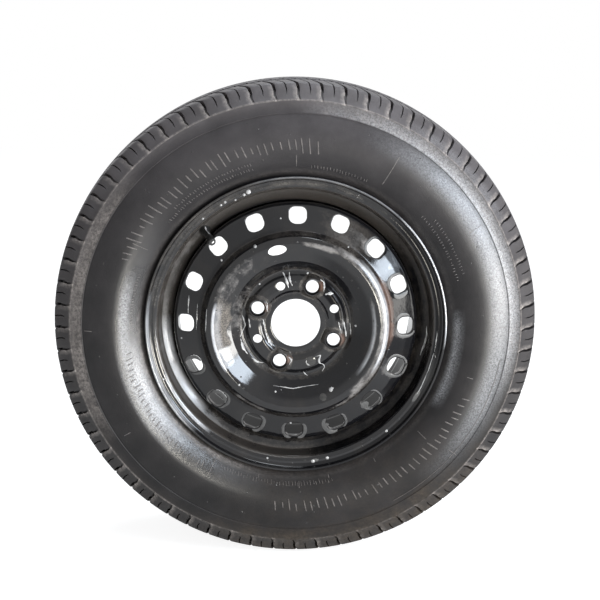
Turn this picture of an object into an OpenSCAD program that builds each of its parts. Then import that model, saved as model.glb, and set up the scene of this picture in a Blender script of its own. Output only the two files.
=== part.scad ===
// A pressed steel car wheel with its tubeless tyre and snap-in valve.
// The axle line is Y. The outboard face looks towards -Y and the hub comes in from +Y.
// The origin is on the axle line, midway between the two rim flanges.

/* [Rim] */
// Diameter of the bead seats where they meet the flanges
rim_d = 329.4; // [324:0.1:335]
// Width between the two flanges
rim_w = 127; // [122:0.5:134]
// Sheet thickness of the rim
rim_t = 2.6; // [2.2:0.1:3]
// Height of a flange above the bead seat
flange_h = 14.2; // [13:0.1:17.5]
// Radius of the flange curl, on the tyre side
flange_curl = 8; // [7:0.1:8.8]
// How far a flange lip stands out past its flange
lip_reach = 11; // [10:0.5:13]
// Width of a bead seat
seat_w = 21; // [19.8:0.1:23]
// Taper of a bead seat, in degrees
seat_taper = 5; // [4:0.5:6]
// Depth of the well below the bead seat
well_depth = 17; // [15:0.5:19]
// Height of the well's outboard edge above the centre plane
well_top = 34.2; // [31:0.1:36]
// Depth of the well's inboard edge below the centre plane
well_bottom = 32; // [28:0.5:33]

/* [Wheel disc] */
// Distance from the centre plane to the mounting face
wheel_offset = 45; // [42:0.5:48]
// Sheet thickness of the disc
disc_t = 4; // [3.5:0.1:4.4]
// Diameter of the hub bore
hub_bore_d = 58.6; // [54:0.1:60]
// Height of the stud ring's bulge above the mounting face
bulge_h = 4.6; // [3:0.1:6]
// Outer diameter of the outer mounting ring
mount_ring_d = 132; // [126:1:136]
// Diameter of the crown's ridge
crown_d = 202; // [196:1:206]
// Height of the crown's ridge above the mounting face
crown_h = 25; // [22:0.5:28]
// Height of the vent cone's outer edge above the mounting face
shoulder_h = 3.3; // [1:0.1:5]
// Slope of the vent cone, in degrees
vent_slope = 19.5; // [16:0.5:22]
// Length of the disc's skirt inside the well
skirt_len = 24; // [18:1:28]
// Gap between the skirt and the well
skirt_gap = 0.08; // [0.03:0.01:0.15]

/* [Stud holes] */
// Pitch circle of the stud holes
stud_pcd = 98; // [96:0.5:102]
// Number of stud holes
stud_count = 4; // [4:1:5]
// Diameter of a stud hole
stud_hole_d = 15; // [13:0.5:16]
// Half angle of the conical nut seats, in degrees
nut_seat_angle = 30; // [28:1:32]
// Height of a nut seat's collar above the bulge
nut_collar_h = 1.6; // [1:0.1:3]
// Diameter of the small holes between the stud holes
small_hole_d = 10.6; // [8:0.1:12]

/* [Vents] */
// Number of vents
vent_count = 16; // [12:1:18]
// Diameter of the circle through the middle of the vents
vent_pcd = 260; // [256:1:264]
// Width and height of a vent
vent_side = 21; // [18:0.1:24]
// Corner radius on a vent's outer side
vent_corner = 7; // [4:0.5:8]
// Corner radius on a vent's inner side
vent_inner_corner = 9; // [6:0.5:10]

/* [Welds] */
// Number of weld runs between the disc and the rim
weld_count = 8; // [4:1:12]
// Arc of one weld run, in degrees
weld_arc = 24; // [12:1:30]
// Leg of a weld bead
weld_leg = 4.2; // [3:0.1:5]

/* [Tyre] */
// Height of the tyre's section above the bead seat
section_h = 122.9; // [118:0.1:130]
// Width of the tyre at its widest
section_w = 177; // [172:1:182]
// Radius at which the tyre is widest
widest_r = 222; // [218:1:228]
// Outline radius of the sidewalls above the widest place, seen in section
wall_curve = 49; // [46:1:56]
// Thickness of the sidewalls
wall_t = 7; // [5:0.5:9]
// Thickness of the crown under the tread
crown_t = 13.5; // [12:0.5:15]
// Width of the tread between its corners
tread_w = 132; // [126:1:138]
// Drop of the tread from its middle to a corner
tread_drop = 5; // [3:0.5:7]
// Depth of the tread grooves
tread_depth = 7.5; // [4:0.5:8]
// Width of the grooves that run round the tread
rib_groove_w = 8; // [5:0.5:10]
// Distance of the two inner grooves from the centre plane
rib_groove_in = 15; // [12:0.5:17]
// Distance of the two outer grooves from the centre plane
rib_groove_out = 41; // [38:0.5:44]
// Number of blocks round each shoulder
block_count = 64; // [48:1:72]
// Width of a shoulder slot on the tread
slot_w = 3.8; // [2.5:0.1:5]
// Width of a shoulder slot down on the sidewall
slot_foot_w = 2.2; // [1.5:0.1:3]
// Lean of the shoulder slots, in degrees
slot_lean = 26; // [10:1:30]
// Depth of the outer ring line below the tread's middle
ring_line_drop = 24.6; // [23:0.1:26.5]
// Depth of the inner ring line below the tread's middle
inner_line_drop = 39.6; // [38:0.1:41.5]
// Gap between the tyre's beads and the rim
bead_gap = 0.1; // [0.05:0.01:0.2]

/* [Valve] */
// Angle of the valve round the wheel, seen from outboard
valve_angle = 135; // [0:1:360]
// Diameter of the valve hole in the rim
valve_hole_d = 11.3; // [11:0.1:11.6]
// Length of the rubber body outside the rim
valve_body_len = 21; // [16:0.5:24]
// Length of the bare stem past the rubber body
valve_thread_len = 9.5; // [8:0.5:11]
// Diameter of the rubber body along its neck
valve_body_d = 8.4; // [8.2:0.1:9]
// Diameter of the stem's threaded end
valve_thread_d = 7.7; // [7.5:0.1:7.9]
// Diameter of the stem inside the rubber
valve_stem_d = 5.8; // [5.4:0.1:6.2]
// Diameter of the air passage through the stem
air_passage_d = 3.2; // [2.6:0.1:3.4]
// Diameter of the bore that holds the valve core
core_bore_d = 4.4; // [4.2:0.1:4.6]
// Length of the bore that holds the valve core
core_bore_len = 21; // [19:0.5:23]
// Diameter of the pin in the middle of the valve core
core_pin_d = 1; // [0.8:0.1:1.2]
// Travel of the valve core's pin
core_pin_travel = 1.2; // [0.8:0.1:1.6]
// Outer diameter of the valve cap
cap_d = 9.4; // [9:0.1:10.5]
// Length of the valve cap
cap_len = 11.2; // [10.6:0.1:13]
// Clearance round the parts that slide in the valve
valve_fit = 0.05; // [0.03:0.01:0.08]

/* [Hidden] */
$fn = 64;
SLOP = 1;          // overrun of a cutter past the face that it cuts
ARC_STEP = 12;     // degrees between the points of a bend in a section

PAINT = [0.05, 0.05, 0.055];
RUBBER = [0.13, 0.13, 0.135];
BRASS = [0.72, 0.55, 0.28];
PLASTIC = [0.03, 0.03, 0.03];

seat_r = rim_d / 2;
flange_z = rim_w / 2;
lip_r = seat_r + flange_h;
tyre_r = seat_r + section_h;
well_r = seat_r - well_depth - rim_t;
skirt_r = well_r - skirt_gap;
skirt_end = well_top - skirt_len - 8;

// Section helpers. A section is drawn in [radius, height], with height outboard of the centre plane.

function unit(v) = v / norm(v);
function leftward(v) = [-v[1], v[0]];
function turned(a) = a > 180 ? a - 360 : a < -180 ? a + 360 : a;

// Points of the round bend of radius r at corner b, between its neighbours a and c
function bend(a, b, c, r) =
    let (u = unit(a - b), w = unit(c - b),
         half = acos(max(-1, min(1, u * w))) / 2,
         p = b + u * r / tan(half),
         q = b + w * r / tan(half),
         m = b + unit(u + w) * r / sin(half),
         from = atan2(p[1] - m[1], p[0] - m[0]),
         by = turned(atan2(q[1] - m[1], q[0] - m[0]) - from),
         n = max(2, ceil(abs(by) / ARC_STEP)))
    [for (i = [0:n]) m + r * [cos(from + by * i / n), sin(from + by * i / n)]];

// An outline through corners [radius, height, bend radius]
function rounded(v) = [
    for (i = [0:len(v) - 1])
        each (i == 0 || i == len(v) - 1 || v[i][2] == 0
            ? [[v[i][0], v[i][1]]]
            : bend([v[i - 1][0], v[i - 1][1]], [v[i][0], v[i][1]], [v[i + 1][0], v[i + 1][1]], v[i][2]))
];

// The line beside a path, at distance d on its left
function beside(path, d) = [
    for (i = [0:len(path) - 1])
        let (back = unit(path[max(i, 1)] - path[max(i, 1) - 1]),
             ahead = unit(path[min(i + 1, len(path) - 1)] - path[min(i, len(path) - 2)]),
             n = leftward(back), m = leftward(ahead))
        path[i] + d * (n + m) / (1 + n * m)
];

function backwards(v) = [for (i = [len(v) - 1:-1:0]) v[i]];

// The outline of a sheet of thickness t along its middle line
function sheet(path, t) = concat(beside(path, t / 2), backwards(beside(path, -t / 2)));

// Turns a section round the axle line and stands it upright, outboard side towards -Y
module upright() {
    rotate([90, 0, 0]) children();
}

module revolved(section) {
    upright() rotate_extrude($fn = 256) polygon(section);
}

// Rim

seat_fall = seat_w * tan(seat_taper);
rim_half = rim_t / 2;
lip_mid_r = lip_r - rim_half;
seat_mid_r = seat_r - rim_half;
lip_z = flange_z + lip_reach;
flange_mid_z = flange_z + rim_half;
curl_bend = flange_curl - rim_half;
lip_droop = 1.2;
curl_reach = curl_bend / tan(45 - atan2(lip_droop, lip_reach - rim_half) / 2);
corner_bend = (flange_h - curl_reach - 0.4) * tan(45 + seat_taper / 2);
seat_end_z = flange_z - seat_w;
well_mid_r = well_r + rim_half;
well_edge_bend = 5;
seat_edge_bend = 4;

rim_path = rounded([
    [lip_mid_r - lip_droop, lip_z, 0],
    [lip_mid_r, flange_mid_z, curl_bend],
    [seat_mid_r, flange_mid_z, corner_bend],
    [seat_mid_r - seat_fall, seat_end_z, seat_edge_bend],
    [well_mid_r, well_top, well_edge_bend],
    [well_mid_r, -well_bottom, 8],
    [seat_mid_r - seat_fall, -seat_end_z, 10],
    [seat_mid_r, -flange_mid_z, corner_bend],
    [lip_mid_r, -flange_mid_z, curl_bend],
    [lip_mid_r - lip_droop, -lip_z, 0],
]);
rim_tyre_side = beside(rim_path, rim_half + bead_gap);
seat_slope = seat_fall / (flange_mid_z - seat_end_z);
// Radius of the tyre's bead where it lies on the rim's seat at height z
function bead_r(z) = seat_mid_r - (flange_mid_z - z) * seat_slope + (rim_half + bead_gap) * norm([1, seat_slope]);

module rim() {
    color(PAINT) difference() {
        revolved(sheet(rim_path, rim_t));
        at_valve() cylinder(d = valve_hole_d, h = 4 * rim_t, center = true);
    }
}

// Wheel disc

disc_half = disc_t / 2;
mount_mid_z = wheel_offset + disc_half;
stud_r = stud_pcd / 2;
bulge_z = mount_mid_z + bulge_h;
mount_ring_r = mount_ring_d / 2;
crown_r = crown_d / 2;
crown_corner_z = mount_mid_z + crown_h;
vent_r = vent_pcd / 2;
skirt_mid_r = skirt_r - disc_half;
shoulder_z = mount_mid_z + shoulder_h - disc_half;
vent_fall = tan(vent_slope);
vent_mid_z = shoulder_z + (skirt_mid_r - vent_r) * vent_fall;
valley_r = crown_r + 11;
valley_z = shoulder_z + (skirt_mid_r - valley_r) * vent_fall;
crease_r = mount_ring_r + 12;
crease_z = mount_mid_z + 10.5;

disc_path = rounded([
    [hub_bore_d / 2, mount_mid_z, 0],
    [stud_r - 11, mount_mid_z, 5],
    [stud_r - 6, bulge_z, 5],
    [stud_r + 6, bulge_z, 5],
    [stud_r + 11.5, mount_mid_z, 5],
    [mount_ring_r, mount_mid_z, 6],
    [crease_r, crease_z, 3],
    [crown_r, crown_corner_z, 9],
    [valley_r, valley_z, 7],
    [skirt_mid_r, shoulder_z, 4.5],
    [skirt_mid_r, skirt_end, 0],
]);

nut_face_z = bulge_z + disc_half + nut_collar_h;
nut_mouth_r = stud_hole_d / 2 + (nut_face_z - bulge_z) * tan(nut_seat_angle);
nut_collar_r = nut_mouth_r + 0.9;

// Repeats its children round the axle line, the first at the angle from
module ring_of(count, from = 0) {
    for (i = [0:count - 1]) rotate(from + 360 * i / count) children();
}

module nut_collar() {
    translate([stud_r, 0, bulge_z])
        cylinder(r1 = nut_collar_r + 3, r2 = nut_collar_r, h = nut_face_z - bulge_z);
}

module stud_hole() {
    translate([stud_r, 0, wheel_offset - SLOP]) cylinder(d = stud_hole_d, h = nut_face_z - wheel_offset);
    translate([stud_r, 0, bulge_z])
        cylinder(r1 = stud_hole_d / 2, r2 = nut_mouth_r + SLOP * tan(nut_seat_angle),
                 h = nut_face_z - bulge_z + SLOP);
}

module small_hole() {
    translate([stud_r, 0, wheel_offset - SLOP]) cylinder(d = small_hole_d, h = 4 * disc_t);
}

// Outline of a vent, its outer side towards +X
module vent_outline() {
    half = vent_side / 2;
    a = vent_corner;
    b = vent_inner_corner;
    union() {
        translate([-half + b, -half]) square([vent_side - a - b, vent_side]);
        translate([half - a - 0.01, -half + a]) square([a + 0.01, vent_side - 2 * a]);
        translate([-half, -half + b]) square([b + 0.01, vent_side - 2 * b]);
        for (s = [-1, 1]) {
            translate([half - a, s * (half - a)]) circle(r = a);
            translate([-half + b, s * (half - b)]) circle(r = b);
        }
    }
}

module vent() {
    translate([vent_r, 0, vent_mid_z]) rotate([0, vent_slope, 0])
        translate([0, 0, -2 * disc_t]) linear_extrude(4 * disc_t) vent_outline();
}

module wheel_disc() {
    color(PAINT) difference() {
        union() {
            revolved(sheet(disc_path, disc_t));
            upright() ring_of(stud_count, 360 / stud_count * 0.75) nut_collar();
        }
        upright() {
            ring_of(stud_count, 360 / stud_count * 0.75) stud_hole();
            ring_of(stud_count, 360 / stud_count * 0.25) small_hole();
            ring_of(vent_count) vent();
        }
    }
}

// Weld beads between the end of the disc's skirt and the rim's well

module weld_beads() {
    leg = weld_leg;
    bead = [[well_r, skirt_end], [well_r, skirt_end - leg], [skirt_r - 0.45 * leg, skirt_end - 0.75 * leg],
            [skirt_r - 0.8 * leg, skirt_end - 0.4 * leg], [skirt_r - 0.9 * leg, skirt_end]];
    color(PAINT) upright() ring_of(weld_count, 10) rotate_extrude(angle = weld_arc, $fn = 256) polygon(bead);
}

// Tyre

corner_r = tyre_r - tread_drop;
corner_z = tread_w / 2;
ring_line_r = tyre_r - ring_line_drop;
inner_line_r = tyre_r - inner_line_drop;
bead_meet_r = seat_r + 11.9;
bead_toe_z = seat_end_z + 3;
wall_foot_r = lip_r + 5;
wall_foot_z = flange_z + 8.4;

// A low arch over -1 to 1: it is 1 in the middle and 0 at the ends
function arch(u) = let (c = 1.365) (sqrt(c * c - u * u) - sqrt(c * c - 1)) / (c - sqrt(c * c - 1));
// Height of the sidewall's outside at radius r
function wall_z(r) = r < widest_r
    ? wall_foot_z + (section_w / 2 - wall_foot_z) * arch((widest_r - r) / (widest_r - wall_foot_r))
    : section_w / 2 - pow(r - widest_r, 2) / (2 * wall_curve);

tread_arc = [for (i = [0:5]) [tyre_r - tread_drop * pow(i / 6, 2), corner_z * i / 6]];
ring_line_z = wall_z(inner_line_r) - 2.6;
shoulder = rounded([
    [tread_arc[5][0], tread_arc[5][1], 0],
    [corner_r, corner_z, 6],
    [ring_line_r, ring_line_z, 4],
    [inner_line_r + 1.2, wall_z(inner_line_r) + 0.5, 0],
]);
wall_step = (inner_line_r - wall_foot_r) / 14;
outer_wall = [for (i = [0:14]) let (r = inner_line_r - wall_step * i) [r, wall_z(r)]];
bead_side = [for (p = rim_tyre_side) if (p[1] > bead_toe_z && p[1] < flange_z + 2.6 && p[0] < bead_meet_r) p];
bead_foot = [[bead_r(bead_toe_z), bead_toe_z], [seat_r + 5, bead_toe_z + 1]];
inner_wall = beside(backwards(concat([[ring_line_r, ring_line_z]], outer_wall)), -wall_t);
inner_crown = [[corner_r - crown_t - 5, corner_z - 4], [tyre_r - crown_t - 3, corner_z * 0.62],
               [tyre_r - crown_t, corner_z * 0.3]];

half_tyre = concat(tread_arc, [for (i = [1:len(shoulder) - 1]) shoulder[i]], outer_wall,
                   [[bead_meet_r + 3, wall_foot_z - 3.6]], bead_side, bead_foot,
                   inner_wall, inner_crown);
mirrored_half = [for (p = backwards([for (i = [1:len(half_tyre) - 1]) half_tyre[i]])) [p[0], -p[1]]];

module rib_groove(z) {
    w = rib_groove_w / 2;
    floor_r = tyre_r - tread_depth - tread_drop * pow(z / corner_z, 2);
    revolved([[floor_r, z - w + 1.2], [tyre_r + SLOP, z - w - 0.4], [tyre_r + SLOP, z + w + 0.4],
              [floor_r, z + w - 1.2]]);
}

// One slot at angle 0: it crosses the tread's edge, then narrows down the shoulder to the ring line
module shoulder_slot() {
    slope = atan2(corner_r - ring_line_r, ring_line_z - corner_z);
    run = norm([corner_r - ring_line_r, ring_line_z - corner_z]);
    dip = atan2(tread_depth - 1.5, run);
    side_shift = run * tan(slot_lean) * 0.4;
    tread_shift = side_shift + (corner_z - rib_groove_out) * tan(slot_lean);
    translate([ring_line_r - 0.8, 0, ring_line_z - 0.3]) rotate([0, slope + dip - 180, 0])
        mirror([0, 0, 1]) linear_extrude(20) polygon([
            [0, -slot_foot_w / 2], [run + 6, side_shift - slot_w / 2],
            [run + 6, side_shift + slot_w / 2], [0, slot_foot_w / 2],
        ]);
    translate([corner_r - tread_depth, 0, 0]) rotate([0, 90, 0]) linear_extrude(20) polygon([
        [-corner_z - 3, side_shift - slot_w / 2], [-rib_groove_out, tread_shift - slot_w / 2],
        [-rib_groove_out, tread_shift + slot_w / 2], [-corner_z - 3, side_shift + slot_w / 2],
    ]);
}

module tyre() {
    color(RUBBER) difference() {
        revolved(concat(half_tyre, mirrored_half));
        for (z = [-rib_groove_out, -rib_groove_in, rib_groove_in, rib_groove_out]) rib_groove(z);
        upright() ring_of(block_count) shoulder_slot();
        upright() rotate(180 / block_count) mirror([0, 0, 1]) ring_of(block_count) shoulder_slot();
    }
}

// Valve. It is drawn along its own axis: height 0 is the middle of the rim sheet and +Z points out.

wall_top = [seat_mid_r - seat_fall, seat_end_z];
wall_low = [well_mid_r, well_top];
wall_run = unit(wall_low - wall_top);
valve_share = 0.45;
valve_seat = wall_top + (wall_low - wall_top) * valve_share;
valve_tilt = atan2(-wall_run[1], -wall_run[0]);

// Puts its children on the rim's well wall, square to it
module at_valve() {
    upright() rotate(valve_angle) translate([valve_seat[0], 0, valve_seat[1]]) rotate([0, -valve_tilt, 0])
        children();
}

head_len = 5.5;
head_r = valve_hole_d / 2 + 1.7;
neck_r = valve_hole_d / 2 - valve_fit;
collar_r = neck_r + 1;
// The wall is hollow towards the collar, so the collar's flat foot stands off by the wall's rise
collar_foot = rim_half + valve_fit + pow(collar_r, 2) / (2 * valve_seat[0]);
stem_foot = -head_len;
body_top = valve_body_len;
stem_top = body_top + valve_thread_len;
core_top = stem_top - 0.4;
core_foot = stem_top - core_bore_len;
housing_r = core_bore_d / 2 - valve_fit;
gasket_len = 2;
housing_foot = core_top - 9;
cup_len = 2.4;
cup_top = housing_foot - gasket_len - 1;
pin_r = core_pin_d / 2;
spring_foot = core_foot + 0.01;
spring_wire = 0.3;

module turned_part(section) {
    rotate_extrude() polygon(section);
}

module valve_rubber() {
    gap = rim_half + valve_fit;
    bore = valve_stem_d / 2;
    color([0.06, 0.06, 0.06]) at_valve() turned_part([
        [bore, -head_len], [head_r - 2, -head_len], [head_r, -gap - 1.7], [head_r - 1.3, -gap],
        [neck_r, -gap], [neck_r, collar_foot], [collar_r - 0.2, collar_foot], [collar_r, collar_foot + 1],
        [valve_body_d / 2 + 0.8, gap + 5], [valve_body_d / 2, gap + 10], [valve_body_d / 2, body_top - 1],
        [valve_body_d / 2 - 1, body_top], [bore, body_top],
    ]);
}

module valve_stem() {
    r = valve_stem_d / 2 - valve_fit;
    color(BRASS) at_valve() difference() {
        turned_part([
            [air_passage_d / 2, stem_foot], [r, stem_foot], [r, body_top + 0.1],
            [valve_thread_d / 2, body_top + 0.1], [valve_thread_d / 2, stem_top - 0.5],
            [valve_thread_d / 2 - 0.5, stem_top], [core_bore_d / 2, stem_top],
            [core_bore_d / 2, core_foot], [air_passage_d / 2, core_foot],
        ]);
    }
}

module core_housing() {
    bore = pin_r + valve_fit;
    seat_bore = bore + 0.5;
    color(BRASS) at_valve() difference() {
        turned_part([
            [bore, housing_foot - gasket_len], [housing_r - 0.8, housing_foot - gasket_len],
            [housing_r - 0.8, housing_foot], [housing_r, housing_foot], [housing_r, core_top],
            [seat_bore, core_top], [seat_bore, core_top - 5], [bore, core_top - 5],
        ]);
    }
}

module core_gasket() {
    color([0.7, 0.1, 0.08]) at_valve() turned_part([
        [housing_r - 0.8, housing_foot - gasket_len], [housing_r - 0.2, housing_foot - gasket_len],
        [housing_r, housing_foot - gasket_len * 0.3], [housing_r, housing_foot],
        [housing_r - 0.8, housing_foot],
    ]);
}

module core_pin() {
    color(BRASS) at_valve() {
        translate([0, 0, spring_foot + 0.2]) cylinder(r = pin_r, h = core_top - 0.2 - spring_foot - 0.2);
    }
}

module core_cup_seal() {
    color([0.1, 0.1, 0.1]) at_valve() turned_part([
        [pin_r, cup_top - cup_len], [housing_r - 0.6, cup_top - cup_len], [housing_r - 0.6, cup_top - 0.5],
        [housing_r - 0.9, cup_top + 0.95], [pin_r, cup_top + 0.95],
    ]);
}

// A cone of wire rings that pushes the cup seal shut from below
module core_spring() {
    coil_r = core_bore_d / 2 - spring_wire - valve_fit;
    turns = 6;
    pitch = (cup_top - cup_len - spring_foot - spring_wire) / turns;
    color([0.6, 0.6, 0.62]) at_valve() for (i = [0:turns])
        translate([0, 0, spring_foot + spring_wire / 2 + pitch * i])
            rotate_extrude($fn = 36) translate([coil_r - 0.6 * i / turns, 0]) circle(d = spring_wire, $fn = 12);
}

cap_bore_r = valve_thread_d / 2 + valve_fit;
cap_foot = stem_top + 1.9 - cap_len;

module valve_cap() {
    r = cap_d / 2;
    top = cap_foot + cap_len;
    color(PLASTIC) at_valve() difference() {
        turned_part([
            [cap_bore_r, cap_foot], [r, cap_foot], [r, top - 2.4], [r - 0.5, top - 0.7], [r - 1.3, top],
            [0, top], [0, top - 1], [cap_bore_r, top - 1],
        ]);
        for (i = [0:17]) rotate(20 * i) translate([r + 0.25, 0, cap_foot - SLOP])
            cylinder(r = 0.5, h = cap_len - 1.6, $fn = 6);
    }
}

module cap_seal() {
    color([0.25, 0.25, 0.25]) at_valve() translate([0, 0, stem_top + valve_fit]) difference() {
        cylinder(r = cap_bore_r - valve_fit, h = 0.8);
        translate([0, 0, -SLOP]) cylinder(r = core_bore_d / 2, h = 3 * SLOP);
    }
}

tyre();
rim();
wheel_disc();
weld_beads();
valve_rubber();
valve_stem();
core_housing();
core_gasket();
core_pin();
core_cup_seal();
core_spring();
valve_cap();
cap_seal();
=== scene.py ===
"""Looks of the car wheel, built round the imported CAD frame.

The wheel stands upright: the axle line is Y, the outboard face looks towards -Y and +Z is up.
Sections are lists of (radius, height) in millimetres, with height outboard of the centre plane, and angles
run from +X towards +Z, so that a point is (radius cos, -height, radius sin).
"""

import math

import bmesh
import bpy
import numpy as np
from mathutils import Matrix, Vector

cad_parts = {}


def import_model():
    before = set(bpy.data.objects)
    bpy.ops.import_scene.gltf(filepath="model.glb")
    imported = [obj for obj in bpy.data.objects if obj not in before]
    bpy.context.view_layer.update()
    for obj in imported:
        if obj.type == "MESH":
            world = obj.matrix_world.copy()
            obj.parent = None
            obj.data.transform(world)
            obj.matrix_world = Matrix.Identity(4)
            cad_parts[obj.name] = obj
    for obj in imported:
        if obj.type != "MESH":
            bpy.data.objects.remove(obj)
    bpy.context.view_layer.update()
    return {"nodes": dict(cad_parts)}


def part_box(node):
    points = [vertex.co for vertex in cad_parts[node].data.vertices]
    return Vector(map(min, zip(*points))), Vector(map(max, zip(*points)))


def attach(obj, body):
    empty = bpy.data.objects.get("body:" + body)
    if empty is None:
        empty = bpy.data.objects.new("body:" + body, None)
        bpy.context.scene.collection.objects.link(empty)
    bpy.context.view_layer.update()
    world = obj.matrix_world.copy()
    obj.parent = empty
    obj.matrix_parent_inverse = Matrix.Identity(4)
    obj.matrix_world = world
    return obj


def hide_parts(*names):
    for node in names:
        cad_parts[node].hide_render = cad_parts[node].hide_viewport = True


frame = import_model()
MM = 0.001


def half_width(node, axis):
    low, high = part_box(node)
    return (high[axis] - low[axis]) / 2 / MM


# Sizes in millimetres. The main ones come from the frame; the rest repeat the part's own values.
TYRE_R = half_width("tyre", 0)
SECTION_W = 2 * half_width("tyre", 1)
LIP_R = half_width("rim", 0)
LIP_Z = half_width("rim", 1)

RIM_T = 2.6
SEAT_R = 164.7
FLANGE_Z = 63.5
FLANGE_CURL = 8.0
LIP_DROOP = 1.2
SEAT_W = 21.0
SEAT_TAPER = math.radians(5)
WELL_R = 145.1
WELL_TOP = 34.2
WELL_BOTTOM = 32.0

DISC_T = 4.0
MOUNT_Z = 47.0
HUB_R = 29.3
STUD_R = 49.0
STUD_COUNT = 4
STUD_TURN = 67.5  # degrees from +X to the first stud hole
STUD_HOLE_R = 7.5
NUT_MOUTH_R = 9.58
NUT_FACE_H = 3.6
SMALL_HOLE_R = 5.3
BULGE_Z = 51.6
MOUNT_RING_R = 66.0
CREASE = (78.0, 57.5)
CROWN = (101.0, 72.0)
VALLEY_R = 112.0
FACE_END_R = 140.0
SKIRT_R = 143.02
SHOULDER_Z = 48.3
SKIRT_END = 2.2
VENT_COUNT = 16
VENT_R = 130.0
VENT_HALF = 10.5
VENT_CORNER = 7.0
VENT_INNER_CORNER = 9.0
VENT_FALL = math.tan(math.radians(19.5))

# The sidewall starts at its foot by the flange, arches out to its widest radius and curves back in
WALL_FOOT_R = LIP_R + 5
WALL_FOOT_Z = FLANGE_Z + 8.4
WALL_ARCH = 1.365
WIDEST_R = 222.0
WALL_CURVE = 49.0
TREAD_HALF = 66.0
TREAD_DROP = 5.0
TREAD_DEPTH = 7.5
CROWN_T = 13.5
RING_LINE_DROP = 24.6
INNER_LINE_DROP = 39.6
GROOVE_ZS = (15.0, 41.0)
# Half widths of a groove at its mouth, under its eased edge and at its floor
GROOVE_MOUTH = 4.9
GROOVE_EDGE = 4.4
GROOVE_FLOOR = 2.8
BLOCKS = 64
SLOT_W = 3.8
SLOT_FOOT_W = 2.2
NARROW_SLOT_W = 2.4
SIPE_DEPTH = 4.5
BEAD_GAP = 0.1
# How far round a slot stands at the tread's edge, its lean over the tread, and its bend down the shoulder
SLOT_STEP = 5.0
SLOT_LEAN = 0.488
SLOT_BEND = 1.2

# The valve's axis, the radius of its rubber body at places along it, and the place of the cap's end
VALVE_AXIS = np.array([0.33954, -0.87717, -0.33954])
VALVE_BODY = ((-16.5, -15, -13.5, -12, -10, -8, 0), (5.85, 5.35, 4.9, 4.65, 4.35, 4.22, 4.22))
CAP_TOP = 12.2


# Sections


def unit(v):
    return v / np.linalg.norm(v)


def bend(a, b, c, r, step):
    """Points of the round bend of radius r at corner b, step radians apart."""
    u, w = unit(a - b), unit(c - b)
    half = math.acos(np.clip(u @ w, -1, 1)) / 2
    centre = b + unit(u + w) * r / math.sin(half)
    start, end = b + u * r / math.tan(half), b + w * r / math.tan(half)
    t0 = math.atan2(*(start - centre)[::-1])
    by = (math.atan2(*(end - centre)[::-1]) - t0 + math.pi) % (2 * math.pi) - math.pi
    n = max(2, math.ceil(abs(by) / step))
    turns = [t0 + by * i / n for i in range(n + 1)]
    return [centre + r * np.array((math.cos(t), math.sin(t))) for t in turns]


def rounded(corners, step=math.radians(7)):
    """An outline through corners (radius, height, bend radius)."""
    p = [np.array(c[:2], float) for c in corners]
    out = [p[0]]
    for i in range(1, len(p) - 1):
        out += [p[i]] if corners[i][2] == 0 else bend(p[i - 1], p[i], p[i + 1], corners[i][2], step)
    return np.array(out + [p[-1]])


def normals(path):
    """Unit normals on the left of each point of a path."""
    d = np.diff(path, axis=0)
    d /= np.linalg.norm(d, axis=1)[:, None]
    n = np.stack([-d[:, 1], d[:, 0]], 1)
    both = np.vstack([n[:1], n]) + np.vstack([n, n[-1:]])
    dots = (np.vstack([n[:1], n]) * np.vstack([n, n[-1:]])).sum(1)
    return both / (1 + dots)[:, None]


def beside(path, d):
    return path + d * normals(path)


def subdivide(path, longest):
    """Adds points so that no stretch is longer than this."""
    out = [path[0]]
    for a, b in zip(path[:-1], path[1:]):
        n = max(1, math.ceil(np.linalg.norm(b - a) / longest))
        out += [a + (b - a) * i / n for i in range(1, n + 1)]
    return np.array(out)


def sheet(path, t, edge=0.6):
    """The closed outline of a sheet of thickness t along its middle line, with its two cut edges eased."""
    left, right = beside(path, t / 2), beside(path, -t / 2)

    def cut(a, b, inward):
        across = unit(b - a)
        return [a + inward * edge, a + inward * edge * 0.3 + across * edge * 0.3, a + across * edge,
                b - across * edge, b + inward * edge * 0.3 - across * edge * 0.3, b + inward * edge]

    end = cut(left[-1], right[-1], unit(path[-2] - path[-1]))
    start = cut(right[0], left[0], unit(path[1] - path[0]))
    return np.vstack([left[1:-1], end, right[-2:0:-1], start])


# Meshes

# Vertices nearer than this are one, where the grids of a piece meet
WELD = 0.004


def placed(r, height, angle):
    """Points in the row frame, in metres."""
    x, y, z = r * np.cos(angle), -np.asarray(height, float), r * np.sin(angle)
    return np.stack(np.broadcast_arrays(x, y, z), -1) * MM


def mesh_object(name, verts, faces, material, sharp=40, weld=False, slot=None, body="wheel", replaces=()):
    mesh = bpy.data.meshes.new(name)
    mesh.from_pydata([tuple(v) for v in verts], [], [tuple(int(i) for i in f) for f in faces])
    bm = bmesh.new()
    bm.from_mesh(mesh)
    if weld:
        bmesh.ops.remove_doubles(bm, verts=bm.verts, dist=WELD * MM)
    bmesh.ops.recalc_face_normals(bm, faces=bm.faces)
    bm.to_mesh(mesh)
    bm.free()
    mesh.shade_smooth()
    mesh.set_sharp_from_angle(angle=math.radians(sharp))
    obj = bpy.data.objects.new(name, mesh)
    bpy.context.scene.collection.objects.link(obj)
    obj.data.materials.append(material)
    if replaces:
        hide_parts(*replaces)
    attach(obj, body)
    return obj


def grid_faces(rows, columns, close_rows=True, close_columns=True, first=0):
    """Quads of a grid of vertices, row after row."""
    i, j = np.meshgrid(np.arange(rows if close_rows else rows - 1),
                       np.arange(columns if close_columns else columns - 1), indexing="ij")
    i2, j2 = (i + 1) % rows, (j + 1) % columns
    corners = [i * columns + j, i * columns + j2, i2 * columns + j2, i2 * columns + j]
    return first + np.stack(corners, -1).reshape(-1, 4)


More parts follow.
